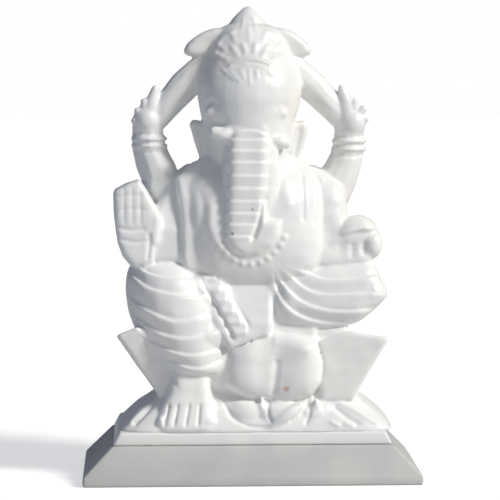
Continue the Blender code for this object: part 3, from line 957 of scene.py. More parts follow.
@dataclass
class Legs(Feature):
    """Both draped legs, the bare right foot, the waist cloth and the sash."""

    fold_step: float = 0.42
    fold_edge: float = 0.62
    fold_reach: float = 2.6
    toes: tuple[tuple[float, float, float], ...] = (
        (-28.9, 20.0, 1.5), (-26.4, 19.8, 1.6), (-23.1, 19.7, 1.7), (-19.3, 19.7, 1.9),
        (-14.2, 19.8, 3.0),
    )
    nodes: tuple[str, ...] = ("leg_right", "foot_right", "leg_left", "waist_cloth", "sash")
    right_leg: tuple[Level, ...] = (
        Level(34.2, -17.2, -15.2, 6.4, 4.6), Level(36.4, -17.4, -14.8, 8.4, 6.4),
        Level(40.0, -19.0, -13.0, 11.0, 9.0), Level(45.0, -21.4, -10.4, 13.8, 12.2),
        Level(51.0, -23.2, -8.2, 15.4, 14.4), Level(57.0, -24.6, -7.2, 15.4, 15.0),
        Level(63.0, -26.2, -6.2, 14.0, 14.4), Level(67.4, -27.6, -4.6, 11.9, 12.4),
        Level(71.0, -28.2, -3.0, 8.4, 8.6),
    )
    right_foot: tuple[Level, ...] = (
        Level(15.9, -20.9, -14.6, 10.3, 7.6), Level(18.4, -20.9, -14.6, 10.3, 7.6),
        Level(20.6, -21.0, -14.4, 9.9, 7.2), Level(24.9, -20.4, -13.4, 8.6, 7.0),
        Level(29.6, -20.0, -12.6, 6.6, 7.1), Level(34.0, -19.6, -12.4, 5.8, 7.1),
        Level(40.0, -19.0, -12.0, 6.0, 5.6),
    )
    left_leg: Outline = (
        (7.0, 64.4), (14.0, 67.0), (22.0, 69.4), (31.0, 71.0), (38.6, 69.8), (41.2, 64.6),
        (43.2, 59.8), (42.4, 57.8), (38.0, 53.6), (33.6, 50.4), (27.0, 48.6), (18.0, 48.0),
        (9.0, 49.4), (6.4, 56.0),
    )
    waist_cloth: Outline = (
        (-17.0, 65.0), (-9.0, 66.0), (6.3, 65.0), (6.5, 50.0), (5.0, 47.0), (-1.0, 45.6),
        (-7.6, 42.6), (-13.0, 52.0),
    )
    sash: Outline = (
        (-16.4, 65.6), (-9.8, 66.4), (-4.9, 57.4), (-0.4, 50.6), (-1.0, 48.4), (-5.6, 44.6),
        (-10.8, 54.6),
    )
    cloth_backing: Outline = ((4.0, 43.0), (21.0, 43.0), (20.0, 66.0), (4.0, 66.0))

    def rough_out(self, stone: Stone) -> None:
        """Add the legs' blank forms.

        Args:
            stone: The block.
        """
        stone.loft(self.right_leg)
        stone.loft(self.right_foot, square=0.5)
        stone.lump((-17.5, -11.8, 46.6), (12.0, 9.6, 8.4))
        stone.lump((-17.8, -11.6, 57.4), (8.2, 7.2, 9.4))
        for x, z, half in self.toes:
            stone.lump((x, -20.0, z), (half, 1.9, 1.9))
        stone.plate(
            self.left_leg, -18.0, 9.0, 5.4,
            fronts=((48.0, -17.6), (56.0, -18.8), (64.0, -16.6), (71.0, -12.4)),
            backs=((48.0, 10.0), (71.0, 7.0)),
        )
        stone.plate(
            self.waist_cloth, -18.6, -2.0, 1.4, sharp=True,
            fronts=((42.0, -20.4), (50.0, -19.8), (58.0, -17.6), (66.0, -13.4)),
        )
        stone.plate(
            self.sash, -18.2, -6.0, 1.6, sharp=True,
            fronts=((44.0, -20.4), (50.0, -19.9), (58.0, -18.4), (66.0, -15.2)),
        )
        stone.plate(
            self.cloth_backing, -17.0, -4.0, 1.5, sharp=True,
            fronts=((43.0, -16.6), (48.0, -17.4), (56.0, -17.5), (66.0, -14.8)),
        )

    def strokes(self) -> list[Stroke]:
        """List the folds of the cloth, the toes and the sash's edges.

        Returns:
            The strokes.
        """
        folds = [
            Stroke(line, self.fold_step, self.fold_edge, Cut.STEP, 3.0, self.fold_reach)
            for line in (
                ((-37.2, 69.0), (-32.0, 66.6), (-24.0, 65.2), (-16.0, 65.0)),
                ((-38.6, 66.4), (-36.4, 64.7), (-32.0, 62.2), (-22.6, 60.3), (-15.4, 59.6)),
                ((-38.6, 58.8), (-35.8, 56.8), (-28.9, 53.6), (-22.6, 52.3), (-12.5, 53.9)),
                ((-37.4, 53.4), (-34.6, 51.4), (-28.9, 48.2), (-20.7, 46.9), (-10.0, 49.1)),
                ((-33.6, 46.8), (-31.0, 44.8), (-23.9, 42.1), (-17.6, 41.5), (-7.8, 43.0)),
                ((-27.2, 39.6), (-25.0, 38.7), (-19.5, 37.3), (-14.7, 37.3), (-9.3, 39.2)),
                ((14.6, 67.6), (17.9, 66.5), (24.8, 64.6), (39.8, 65.5)),
                ((11.4, 66.4), (13.4, 64.6), (18.5, 61.1), (24.8, 60.1), (41.0, 60.4)),
                ((8.6, 65.4), (9.6, 63.7), (14.1, 58.9), (20.4, 56.0), (28.0, 54.7), (38.6, 55.0)),
                ((6.9, 64.6), (7.4, 62.4), (10.0, 57.3), (15.3, 53.2), (22.3, 51.0), (30.6, 50.8)),
            )
        ]
        toes = [
            Stroke(line, 0.75, 0.42, Cut.GROOVE, -13.0)
            for line in (
                ((-26.4, 25.5), (-28.0, 18.8)), ((-23.6, 25.5), (-25.0, 18.8)),
                ((-20.1, 25.5), (-21.4, 18.8)), ((-16.7, 25.5), (-17.4, 18.8)),
            )
        ]
        sash = [
            Stroke(((-15.6, 63.6), (-11.6, 56.6), (-8.4, 50.4), (-5.9, 45.4)), 0.55, 0.55),
            Stroke(((-9.3, 63.9), (-4.9, 56.5), (-1.0, 50.1)), 0.5, 0.55),
        ]
        sash += [
            Stroke(((x - 2.3, z - 0.2), (x + 2.3, z + 0.3)), 0.65, 1.0, Cut.RIDGE)
            for x, z in (
                (-13.6, 64.8), (-12.4, 61.4), (-10.4, 58.0), (-8.2, 54.6), (-5.9, 51.3),
                (-4.0, 48.1),
            )
        ]
        return folds + toes + sash


@dataclass
class Torso(Feature):
    """Belly, chest, shawl bands and garland."""

    nodes: tuple[str, ...] = ("torso", "shawl_right", "shawl_left", "garland")
    belly: tuple[Level, ...] = (
        Level(58.0, 1.0, 2.0, 17.0, 12.0), Level(62.4, 1.4, 0.4, 19.4, 15.0),
        Level(67.0, 1.6, -1.0, 21.2, 17.0), Level(74.0, 1.6, -1.6, 22.4, 17.4),
        Level(81.0, 0.6, -1.6, 22.8, 16.9), Level(89.0, 0.0, -1.2, 23.2, 15.9),
        Level(96.0, -0.4, 0.2, 22.4, 14.2), Level(101.0, 0.0, 2.4, 17.6, 10.4),
        Level(104.4, 0.0, 3.0, 11.0, 7.0),
    )
    right_shawl: Outline = (
        (-23.8, 96.6), (-22.8, 84.0), (-22.2, 68.0), (-14.4, 68.0), (-14.8, 80.0), (-13.0, 90.0),
        (-12.0, 101.0), (-18.6, 101.0),
    )
    left_shawl: tuple[Joint, ...] = (
        Joint(18.6, -6.8, 72.0, 4.0), Joint(18.6, -7.2, 82.0, 4.4), Joint(17.8, -5.4, 90.0, 4.4),
        Joint(16.0, -2.0, 97.6, 4.0),
    )

    def rough_out(self, stone: Stone) -> None:
        """Add the torso's blank forms.

        Args:
            stone: The block.
        """
        stone.loft(self.belly, square=0.62)
        stone.plate(
            self.right_shawl, -14.0, 0.0, 2.4,
            fronts=((68.0, -14.8), (80.0, -14.6), (90.0, -12.8), (98.0, -9.0), (102.0, -5.0)),
        )
        stone.limb(self.left_shawl)

    def strokes(self) -> list[Stroke]:
        """List the edges of the shawl and the beads of the garland.

        Returns:
            The strokes.
        """
        shawl = [
            Stroke(((-24.2, 96.6), (-23.4, 88.0), (-22.8, 80.0), (-22.2, 73.6)), 0.45, 0.7),
            Stroke(((-16.4, 93.0), (-15.6, 88.0), (-16.2, 83.0), (-17.8, 77.4)), 0.3, 1.2),
            Stroke(
                ((-12.6, 90.0), (-13.0, 85.6), (-12.8, 81.0), (-10.6, 76.0), (-6.0, 71.6)),
                0.4, 1.4, Cut.RIDGE,
            ),
            Stroke(((16.0, 98.0), (16.4, 91.0), (16.2, 83.0)), 0.4, 0.7),
            Stroke(((19.6, 96.6), (20.0, 90.0), (19.6, 81.0)), 0.4, 0.7),
            Stroke(((8.6, 101.0), (10.4, 94.0), (12.0, 87.0)), 0.3, 1.8, Cut.RIDGE),
        ]
        garland = [
            Stroke(((x - 0.1, z), (x + 0.1, z)), 0.5, 0.9, Cut.RIDGE)
            for x, z in (
                (-10.2, 75.4), (-8.2, 73.2), (-5.8, 71.2), (-3.2, 70.0), (-0.4, 69.6), (2.4, 70.2),
                (4.8, 71.6), (6.9, 73.4), (8.8, 75.6), (10.0, 78.2),
            )
        ]
        return shawl + garland


@dataclass
class FrontArms(Feature):
    """The front arms: the blessing hand, and the hand with the bowl of sweets."""

    nodes: tuple[str, ...] = (
        "arm_front_right", "arm_front_left", "hand_front_right", "hand_front_left", "sweet_bowl",
        "sweets",
    )
    right_arm: Outline = (
        (-34.6, 69.0), (-34.4, 76.0), (-32.4, 84.0), (-30.2, 87.6), (-28.0, 91.2), (-25.3, 95.0),
        (-22.0, 98.8), (-18.6, 99.0), (-18.6, 84.0), (-19.0, 69.0),
    )
    left_arm: Outline = (
        (33.6, 69.0), (32.6, 76.0), (31.0, 84.0), (30.6, 90.0), (28.6, 95.0), (24.0, 98.2),
        (18.6, 98.6), (18.6, 84.0), (19.0, 69.0),
    )
    open_hand: Outline = (
        (-43.9, 91.4), (-43.4, 92.8), (-39.6, 94.9), (-35.6, 96.2), (-33.2, 92.6), (-30.8, 88.0),
        (-30.2, 82.0), (-31.0, 70.0), (-34.0, 67.6), (-38.4, 68.6), (-41.0, 72.0), (-42.6, 76.4),
        (-43.6, 84.0),
    )
    bowl_hand: Outline = (
        (13.0, 80.0), (26.0, 79.8), (30.0, 82.6), (35.6, 83.2), (39.4, 81.0), (41.6, 77.2),
        (41.6, 74.0), (39.2, 70.4), (34.0, 67.6), (13.0, 68.0),
    )
    sweets: Outline = (
        (22.0, 74.0), (25.4, 79.4), (29.0, 82.6), (32.0, 83.9), (35.4, 84.2), (38.4, 82.8),
        (40.0, 81.0), (39.6, 77.6), (34.6, 75.4), (28.0, 73.0),
    )

    def rough_out(self, stone: Stone) -> None:
        """Add the front arms' blank forms.

        Args:
            stone: The block.
        """
        stone.plate(
            self.right_arm, -12.4, 9.6, 3.0,
            fronts=((69.0, -13.4), (80.0, -12.6), (90.0, -9.0), (98.0, -4.6)),
            backs=((69.0, 10.4), (98.0, 11.0)),
        )
        stone.plate(
            self.left_arm, -11.4, 9.6, 5.0,
            fronts=((69.0, -12.6), (80.0, -11.8), (90.0, -9.6), (98.0, -5.0)),
            backs=((69.0, 10.4), (98.0, 11.0)),
        )
        stone.plate(self.open_hand, -14.6, -4.6, 1.9, sharp=True)
        for x, top in ((-41.9, 90.8), (-39.2, 92.6), (-36.6, 93.4), (-34.2, 90.4)):
            stone.limb(
                [
                    Joint(x, -13.2, top, 1.4), Joint(x, -13.3, 86.0, 1.45),
                    Joint(x + 0.3, -13.2, 81.0, 1.3),
                ]
            )
        stone.limb(
            [
                Joint(-31.0, -12.6, 86.4, 1.5), Joint(-30.6, -12.8, 83.0, 1.9),
                Joint(-31.4, -12.2, 77.0, 2.4),
            ]
        )
        stone.plate(
            self.bowl_hand, -12.6, -1.0, 4.6, fronts=((68.0, -14.0), (74.0, -12.2), (83.0, -12.4))
        )
        stone.plate(self.sweets, -12.7, -2.0, 4.4)
        stone.lump((38.6, -9.4, 75.2), (3.4, 3.9, 4.6))

    def strokes(self) -> list[Stroke]:
        """List the finger lines and the bowl's rim.

        Returns:
            The strokes.
        """
        fingers = [
            Stroke(((x, 94.0), (x + 0.1, 81.6)), 0.2, 0.45, Cut.GROOVE, -8.0)
            for x in (-40.5, -37.9, -35.3)
        ]
        joints = [
            Stroke(((-43.2, z), (-38.0, z + 0.8), (-33.4, z + 0.4)), 0.18, 0.7, Cut.GROOVE, -8.0)
            for z in (90.6, 86.2)
        ]
        palm = [
            Stroke(((-42.8, 81.0), (-38.0, 80.2), (-33.4, 80.8)), 0.4, 0.7, Cut.GROOVE, -8.0),
            Stroke(((-42.0, 77.4), (-37.0, 76.4), (-33.0, 77.0)), 0.35, 0.6, Cut.GROOVE, -8.0),
            Stroke(((-32.6, 79.4), (-32.4, 75.0), (-33.0, 70.6)), 0.6, 0.8, Cut.GROOVE, -8.0),
        ]
        bowl = [
            Stroke(
                ((28.4, 78.2), (32.0, 79.8), (36.0, 80.4), (40.0, 80.4)),
                0.3, 0.55, Cut.RIDGE, -2.0,
            ),
            Stroke(
                ((27.6, 77.0), (32.0, 78.4), (36.0, 78.9), (40.4, 78.9)),
                0.28, 0.8, Cut.GROOVE, -2.0,
            ),
            Stroke(((32.0, 75.8), (32.1, 73.0), (31.8, 71.0)), 0.4, 1.0, Cut.GROOVE, -2.0),
            Stroke(((35.8, 76.4), (35.6, 74.0), (36.0, 71.6)), 0.4, 0.9, Cut.GROOVE, -2.0),
            Stroke(((25.8, 79.0), (27.0, 75.6)), 0.7, 3.0, Cut.GROOVE, -2.0),
        ]
        notch = [
            Stroke(((-34.2, 96.0), (-32.4, 92.0), (-30.2, 87.6)), 0.4, 0.8, Cut.GROOVE, 2.0),
            Stroke(((-30.2, 87.6), (-27.8, 91.4), (-24.8, 96.0)), 0.35, 0.8, Cut.GROOVE, 2.0),
        ]
        return fingers + joints + palm + bowl + notch


@dataclass
class RearArms(Feature):
    """The raised rear arms with bracelets, closed hands, stalks and buds."""

    nodes: tuple[str, ...] = (
        "arm_rear_right", "arm_rear_left", "bracelet_right", "bracelet_left", "hand_rear_right",
        "hand_rear_left", "stalk_right", "stalk_left", "bud_right", "bud_left",
    )
    right_arm: tuple[Joint, ...] = (
        Joint(-30.0, 0.8, 86.0, 4.0), Joint(-29.8, 0.6, 91.0, 5.4), Joint(-29.0, 1.0, 96.0, 6.1),
        Joint(-31.0, 2.2, 101.0, 5.9), Joint(-32.6, 2.4, 106.0, 5.3), Joint(-32.9, 2.2, 112.0, 5.0),
    )
    left_arm: tuple[Joint, ...] = (
        Joint(24.4, 1.0, 86.0, 6.0), Joint(27.6, 2.0, 93.6, 6.4), Joint(30.4, 2.4, 99.6, 5.7),
        Joint(31.8, 2.4, 105.0, 5.1), Joint(32.2, 2.2, 111.0, 4.8),
    )
    right_stalk: tuple[Joint, ...] = (
        Joint(-12.0, 1.8, 133.0, 4.4), Joint(-18.8, 1.8, 127.6, 5.0), Joint(-24.4, 1.8, 121.6, 4.7),
        Joint(-29.6, 1.8, 115.6, 4.2),
    )
    left_stalk: tuple[Joint, ...] = (
        Joint(11.4, 1.8, 133.0, 4.4), Joint(18.0, 1.8, 127.2, 5.0), Joint(23.8, 1.8, 121.4, 4.7),
        Joint(29.2, 1.8, 115.6, 4.0),
    )
    right_bud: Outline = (
        (-21.4, 136.4), (-20.2, 138.8), (-18.2, 140.6), (-15.4, 142.4), (-12.2, 143.6),
        (-6.6, 144.4), (-3.0, 140.0), (-6.4, 134.0), (-12.4, 134.6), (-18.2, 134.6), (-20.8, 135.4),
    )
    left_bud: Outline = (
        (19.9, 136.4), (18.6, 139.0), (16.2, 141.0), (13.6, 142.8), (10.8, 143.8), (5.6, 144.2),
        (2.0, 140.0), (5.8, 134.0), (11.4, 134.2), (17.0, 134.4), (19.4, 135.4),
    )

    def rough_out(self, stone: Stone) -> None:
        """Add the rear arms' blank forms.

        Args:
            stone: The block.
        """
        stone.limb(self.right_arm, flat=1.05)
        stone.limb(self.left_arm, flat=1.05)
        for x, z in ((-32.4, 108.4), (-32.3, 106.2)):
            stone.lump((x, 2.3, z), (6.0, 6.2, 1.2))
        for x, z in ((32.2, 107.6), (32.0, 105.0)):
            stone.lump((x, 2.3, z), (5.9, 6.1, 1.3))
        stone.lump((-33.0, 1.2, 114.4), (4.7, 5.0, 5.0))
        stone.limb(
            [
                Joint(-32.0, 0.2, 116.6, 3.0), Joint(-31.3, 0.0, 120.6, 2.2),
                Joint(-30.4, 0.0, 124.4, 1.3),
            ]
        )
        for x, z in ((-34.0, 120.4), (-36.0, 117.4), (-37.0, 114.2)):
            stone.limb([Joint(-33.2, 0.0, 114.6, 2.2), Joint(x, -0.6, z, 1.3)])
        stone.lump((33.0, 1.2, 113.4), (4.5, 5.0, 5.0))
        stone.limb(
            [
                Joint(31.6, 0.2, 116.0, 3.0), Joint(30.6, 0.0, 120.6, 2.2),
                Joint(29.5, 0.0, 124.4, 1.4),
            ]
        )
        for x, z in ((33.6, 120.2), (36.4, 118.0), (37.2, 114.8), (35.6, 112.4)):
            stone.limb([Joint(32.8, 0.0, 114.2, 2.2), Joint(x, -0.6, z, 1.3)])
        stone.limb(self.right_stalk, flat=0.9)
        stone.limb(self.left_stalk, flat=0.9)
        stone.plate(self.right_bud, -1.4, 6.4, 2.0, sharp=True)
        stone.plate(self.left_bud, -1.4, 6.4, 2.0, sharp=True)

    def strokes(self) -> list[Stroke]:
        """List the lines of the bracelets and of the stalks.

        Returns:
            The strokes.
        """
        return [
            Stroke(((-37.8, 110.4), (-32.6, 110.0), (-27.4, 110.6)), 0.3, 0.5, Cut.GROOVE, 2.0),
            Stroke(((-37.4, 104.6), (-32.4, 104.2), (-27.0, 104.8)), 0.3, 0.5, Cut.GROOVE, 2.0),
            Stroke(((37.2, 109.4), (32.0, 109.0), (26.8, 109.4)), 0.3, 0.5, Cut.GROOVE, 2.0),
            Stroke(((37.0, 103.2), (32.0, 102.8), (26.8, 103.2)), 0.3, 0.5, Cut.GROOVE, 2.0),
            Stroke(((-17.0, 124.6), (-21.4, 121.4), (-26.6, 116.8)), 0.3, 0.8, Cut.GROOVE, 2.0),
            Stroke(((15.6, 124.6), (20.6, 121.2), (26.0, 116.8)), 0.3, 0.8, Cut.GROOVE, 2.0),
        ]


@dataclass
class Head(Feature):
    """Head, ringed trunk, tusks and ears."""

    ring_heights: tuple[float, ...] = (109.0, 105.6, 102.0, 97.8, 93.8, 89.8, 86.0, 82.5, 78.8)
    nodes: tuple[str, ...] = ("head", "trunk", "tusk_right", "tusk_left", "ear_right", "ear_left")
    skull: tuple[Level, ...] = (
        Level(96.0, -0.6, -2.6, 7.0, 8.4), Level(99.6, -0.6, -3.0, 11.0, 11.4),
        Level(104.0, -0.7, -3.0, 13.0, 13.2), Level(109.0, -0.7, -2.8, 13.8, 13.8),
        Level(114.0, -0.6, -2.6, 14.6, 14.2), Level(119.0, -0.4, -2.4, 16.2, 14.6),
        Level(124.0, -0.2, -2.0, 17.0, 14.6), Level(129.0, -0.2, -1.2, 16.0, 13.8),
        Level(134.0, -0.3, 0.0, 13.8, 12.2), Level(139.0, -0.4, 1.2, 11.8, 10.2),
    )
    trunk: Outline = (
        (-3.4, 118.8), (-5.6, 116.2), (-7.0, 112.6), (-7.4, 105.9), (-7.8, 96.5), (-8.4, 85.5),
        (-8.6, 78.0), (-6.6, 73.8), (-2.8, 71.8), (2.0, 72.2), (6.1, 75.0), (8.4, 78.8),
        (9.1, 83.4), (4.6, 84.0), (4.2, 91.4), (4.7, 96.5), (5.2, 105.9), (5.4, 112.6),
        (4.6, 116.2), (2.6, 118.8),
    )
    trunk_bed: Outline = (
        (-5.0, 116.0), (-8.6, 108.0), (-9.4, 96.0), (-9.6, 84.0), (-7.0, 73.0), (4.0, 72.6),
        (7.4, 84.0), (8.2, 92.0), (8.4, 100.0), (8.0, 108.0), (4.0, 116.0),
    )
    right_ear: Outline = (
        (-10.0, 114.2), (-15.4, 114.0), (-18.4, 114.6), (-19.5, 113.0), (-18.0, 108.0),
        (-16.2, 102.4), (-16.2, 99.4), (-9.0, 98.6),
    )
    left_ear: Outline = (
        (9.0, 114.0), (13.6, 113.4), (17.6, 114.1), (18.8, 112.4), (17.8, 108.0), (16.6, 104.4),
        (15.6, 99.4), (9.0, 98.6),
    )

    def rough_out(self, stone: Stone) -> None:
        """Add the head's blank forms.

        Args:
            stone: The block.
        """
        stone.loft(self.skull)
        stone.plate(
            self.trunk, -21.4, -8.0, 2.6, sharp=True,
            fronts=(
                (71.0, -20.2), (77.0, -21.0), (86.0, -20.2), (98.0, -19.3), (106.0, -18.4),
                (109.0, -17.8), (112.0, -16.9), (115.0, -15.2), (120.0, -13.0),
            ),
        )
        stone.plate(
            self.trunk_bed, -18.6, -6.0, 4.0,
            fronts=(
                (72.0, -17.8), (86.0, -18.0), (98.0, -17.2), (106.0, -16.2), (112.0, -15.0),
                (118.0, -13.0),
            ),
        )
        stone.limb(
            [
                Joint(-5.4, -13.6, 110.8, 2.7), Joint(-9.2, -14.8, 110.7, 2.4),
                Joint(-11.6, -14.8, 111.0, 2.0),
            ]
        )
        stone.limb(
            [
                Joint(5.0, -12.6, 108.6, 2.3), Joint(8.4, -13.2, 108.0, 2.1),
                Joint(10.8, -12.8, 107.6, 1.8),
            ]
        )
        stone.lump((-12.5, -10.9, 117.4), (2.5, 1.7, 2.0), turn=-14)
        stone.lump((9.2, -12.3, 117.0), (2.2, 1.6, 1.8), turn=10)
        stone.plate(self.right_ear, -3.4, 4.6, 1.3, sharp=True)
        stone.plate(self.left_ear, -3.4, 4.6, 1.3, sharp=True)

    def strokes(self) -> list[Stroke]:
        """List the trunk's rings and the face's lines.

        Returns:
            The strokes.
        """
        root = ((-6.4, 110.6), (-3.8, 111.6), (-1.0, 112.0), (2.0, 111.6), (4.6, 110.6))
        rings = [Stroke(root, 0.3, 0.5, Cut.STEP, -9.0, 1.2)]
        for z in self.ring_heights:
            left = -7.4 - (110.0 - z) * 0.045
            right = min(5.0, 5.0 - (92.0 - z) * 0.42) if z < 92.0 else 5.0
            line = ((left, z + 0.1), ((left + right) / 2, z), (right, z - 0.1))
            rings.append(Stroke(line, 0.3, 0.5, Cut.STEP, -9.0, 1.2))
        face = [
            Stroke(
                ((4.0, 91.4), (2.6, 85.5), (1.2, 81.0), (-0.3, 77.3)),
                1.3, 0.7, Cut.GROOVE, -9.0,
            ),
            Stroke(((-15.0, 119.2), (-12.6, 120.8), (-10.0, 119.6)), 0.3, 0.9),
            Stroke(((7.0, 118.8), (9.4, 119.8), (12.0, 118.6)), 0.22, 0.9),
            Stroke(((-13.6, 114.2), (-10.0, 113.6)), 0.8, 2.0, Cut.GROOVE, 0.0),
            Stroke(((-4.0, 116.4), (-1.0, 117.0), (2.0, 116.4)), 0.25, 3.0, Cut.GROOVE, 0.0),
            Stroke(((-17.0, 112.6), (-15.4, 107.0), (-14.6, 101.0)), 0.4, 0.7, Cut.GROOVE, 2.0),
            Stroke(((16.0, 112.0), (15.0, 107.0), (14.0, 101.0)), 0.4, 0.7, Cut.GROOVE, 2.0),
            Stroke(((-13.4, 108.0), (-12.6, 103.0), (-10.6, 99.4)), 0.35, 1.0, Cut.GROOVE, 0.0),
            Stroke(((11.8, 105.0), (11.6, 101.6), (10.2, 98.6)), 0.35, 1.0, Cut.GROOVE, 0.0),
        ]
        return rings + face


@dataclass
class Crown(Feature):
    """Petalled crown, brow band and peak."""

    nodes: tuple[str, ...] = ("crown_band", "brow_ornament", "crown_tier", "crown_peak")
    cap: tuple[Level, ...] = (
        Level(131.0, -0.3, 0.6, 13.4, 11.8), Level(135.6, -0.3, 1.0, 13.4, 11.4),
        Level(139.6, -0.4, 1.8, 12.2, 10.0), Level(143.0, -0.5, 2.4, 9.8, 8.0),
        Level(145.6, -0.6, 2.8, 7.0, 5.8),
    )
    peak: tuple[Level, ...] = (
        Level(142.6, -0.7, 2.8, 7.4, 5.4), Level(145.0, -0.7, 2.8, 6.0, 4.8),
        Level(147.4, -0.7, 3.0, 4.4, 3.6), Level(149.6, -0.6, 3.2, 2.2, 2.0),
        Level(150.9, -0.6, 3.4, 0.8, 0.8),
    )

    def rough_out(self, stone: Stone) -> None:
        """Add the crown's blank forms.

        Args:
            stone: The block.
        """
        stone.loft(self.cap)
        stone.loft(self.peak)

    def strokes(self) -> list[Stroke]:
        """List the crown's petals and the brow band.

        Returns:
            The strokes.
        """
        arch = ((-8.0, 131.6), (-4.2, 133.4), (-0.6, 134.1), (3.2, 133.4), (7.2, 131.8))
        hood = ((-3.0, 131.9), (0.2, 132.5), (3.6, 131.8), (6.6, 130.6))
        lines = [
            Stroke(arch, 0.36, 0.5, Cut.RIDGE, 4.0), Stroke(hood, 0.2, 0.5, Cut.RIDGE, 4.0),
            Stroke(((-6.0, 132.0), (-0.4, 133.2), (5.4, 132.0)), 0.3, 0.45, Cut.GROOVE, 4.0),
        ]
        for angle, inner, outer, depth in (
            (152, 7.6, 12.4, 0.3), (126, 6.2, 10.2, 0.34), (104, 5.8, 9.4, 0.4),
            (78, 5.8, 9.4, 0.4), (54, 6.2, 10.2, 0.34), (28, 7.6, 12.4, 0.3),
            (139, 10.8, 14.0, 0.24), (115, 10.6, 14.0, 0.24), (91, 10.4, 13.8, 0.24),
            (67, 10.6, 14.0, 0.24), (41, 10.8, 14.0, 0.24),
        ):
            turn = math.radians(angle)
            start = (inner * math.cos(turn) - 0.4, 130.0 + inner * math.sin(turn))
            end = (outer * math.cos(turn) - 0.4, 130.0 + outer * math.sin(turn))
            lines.append(Stroke((start, end), depth, 0.85, Cut.RIDGE, 6.0))
        for x, z, end_x, end_z in (
            (-9.6, 131.2, -5.2, 127.4), (-7.0, 130.6, -3.6, 126.8), (-3.6, 131.0, -2.4, 127.8),
            (-0.9, 131.6, -0.6, 125.8), (1.4, 131.0, 1.6, 128.0), (5.0, 130.2, 7.2, 128.8),
        ):
            lines.append(Stroke(((x, z), (end_x, end_z)), 0.2, 0.55, Cut.RIDGE, 4.0))
        for side in (-1, 1):
            shoulder = ((side * 12.2, 134.6), (side * 9.0, 140.6), (side * 4.4, 143.2))
            lines.append(Stroke(shoulder, 0.4, 0.7, Cut.RIDGE, 6.0))
            peak = ((side * 2.2 - 0.5, 143.6), (side * 1.4 - 0.5, 147.6))
            lines.append(Stroke(peak, 0.22, 0.5, Cut.RIDGE, 6.0))
        return lines


@dataclass
class Parting:
    """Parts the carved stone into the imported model's features, along their creases.

    Attributes:
        wall: Thickness of each feature's stone, inwards.
        tidy: Rounds of voting that straighten the partings.
    """

    wall: float = 0.9
    tidy: int = 6

    def labels(self, stone: Stone, nodes: Sequence[str]) -> np.ndarray:
        """Give each face of the stone to the nearest feature.

        Args:
            stone: The carved stone.
            nodes: Names of the features.

        Returns:
            One index into nodes per face.
        """
        points: list[Vector] = []
        faces: list[tuple[int, ...]] = []
        owner: list[int] = []
        for index, name in enumerate(nodes):
            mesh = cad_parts[name].data
            start = len(points)
            points.extend(vertex.co.copy() for vertex in mesh.vertices)
            for polygon in mesh.polygons:
                faces.append(tuple(start + i for i in polygon.vertices))
                owner.append(index)
        tree = BVHTree.FromPolygons(points, faces)
        mesh = stone.body.data
        found = np.zeros(len(mesh.polygons), np.int32)
        for polygon in mesh.polygons:
            found[polygon.index] = owner[tree.find_nearest(polygon.center)[2]]
        return found

    def split(self, stone: Stone, nodes: Sequence[str]) -> dict[str, bpy.types.Object]:
        """Make one closed piece of stone for each feature.

        Args:
            stone: The carved stone.
            nodes: Names of the features.

        Returns:
            The pieces by feature name.
        """
        mesh = stone.body.data
        label = self.labels(stone, nodes)
        corners = np.empty(len(mesh.loops), np.int32)
        mesh.loops.foreach_get("vertex_index", corners)
        starts = np.empty(len(mesh.polygons), np.int32)
        totals = np.empty(len(mesh.polygons), np.int32)
        mesh.polygons.foreach_get("loop_start", starts)
        mesh.polygons.foreach_get("loop_total", totals)
        face_of_corner = np.repeat(np.arange(len(totals)), totals)
        label = self.straighten(label, corners, face_of_corner, len(mesh.vertices), len(nodes))
        points = coordinates(mesh)
        facing = normals(mesh)
        pieces: dict[str, bpy.types.Object] = {}
        for index, name in enumerate(nodes):
            chosen = np.flatnonzero(label == index)
            if not len(chosen):
                LOG.warning("no stone left for %s", name)
                continue
            mask = label[face_of_corner] == index
            used, local = np.unique(corners[mask], return_inverse=True)
            sizes = totals[chosen]
            edges = np.concatenate([[0], np.cumsum(sizes)])
            polygons = [local[edges[i] : edges[i + 1]].tolist() for i in range(len(sizes))]
            made = bpy.data.meshes.new(name + "_marble")
            made.from_pydata((points[used] * MM).tolist(), [], polygons)
            piece = bpy.data.objects.new(name + "_marble", made)
            bpy.context.scene.collection.objects.link(piece)
            self.close(piece, facing[used])
            pieces[name] = piece
        bpy.data.objects.remove(stone.body)
        stone.body = None
        return pieces

    def straighten(
        self, label: np.ndarray, corners: np.ndarray, face_of_corner: np.ndarray, count: int,
        kinds: int,
    ) -> np.ndarray:
        """Let each face take the label that most of its neighbours hold.

        Args:
            label: One label per face.
            corners: The vertex of each face corner.
            face_of_corner: The face of each face corner.
            count: How many vertices there are.
            kinds: How many labels there are.

        Returns:
            The tidied labels.
        """
        for _ in range(self.tidy):
            votes = np.zeros((count, kinds), np.float32)
            np.add.at(votes, (corners, label[face_of_corner]), 1.0)
            tally = np.zeros((len(label), kinds), np.float32)
            np.add.at(tally, face_of_corner, votes[corners])
            label = tally.argmax(axis=1).astype(np.int32)
        return label

    def close(self, piece: bpy.types.Object, facing: np.ndarray) -> None:
        """Give an open patch its thickness inwards, keeping the shading of the whole stone.

        Args:
            piece: The patch.
            facing: The whole stone's normals at its points.
        """
        outer = len(piece.data.vertices)
        wall = piece.modifiers.new("wall", "SOLIDIFY")
        wall.thickness = self.wall * MM
        wall.offset = -1.0
        wall.use_rim = True
        apply_modifiers(piece)
        mesh = piece.data
        for polygon in mesh.polygons:
            polygon.use_smooth = True
        inner = len(mesh.vertices) - outer
        kept = np.vstack([facing, -facing])[: outer + inner]
        mesh.normals_split_custom_set_from_vertices(kept.tolist())


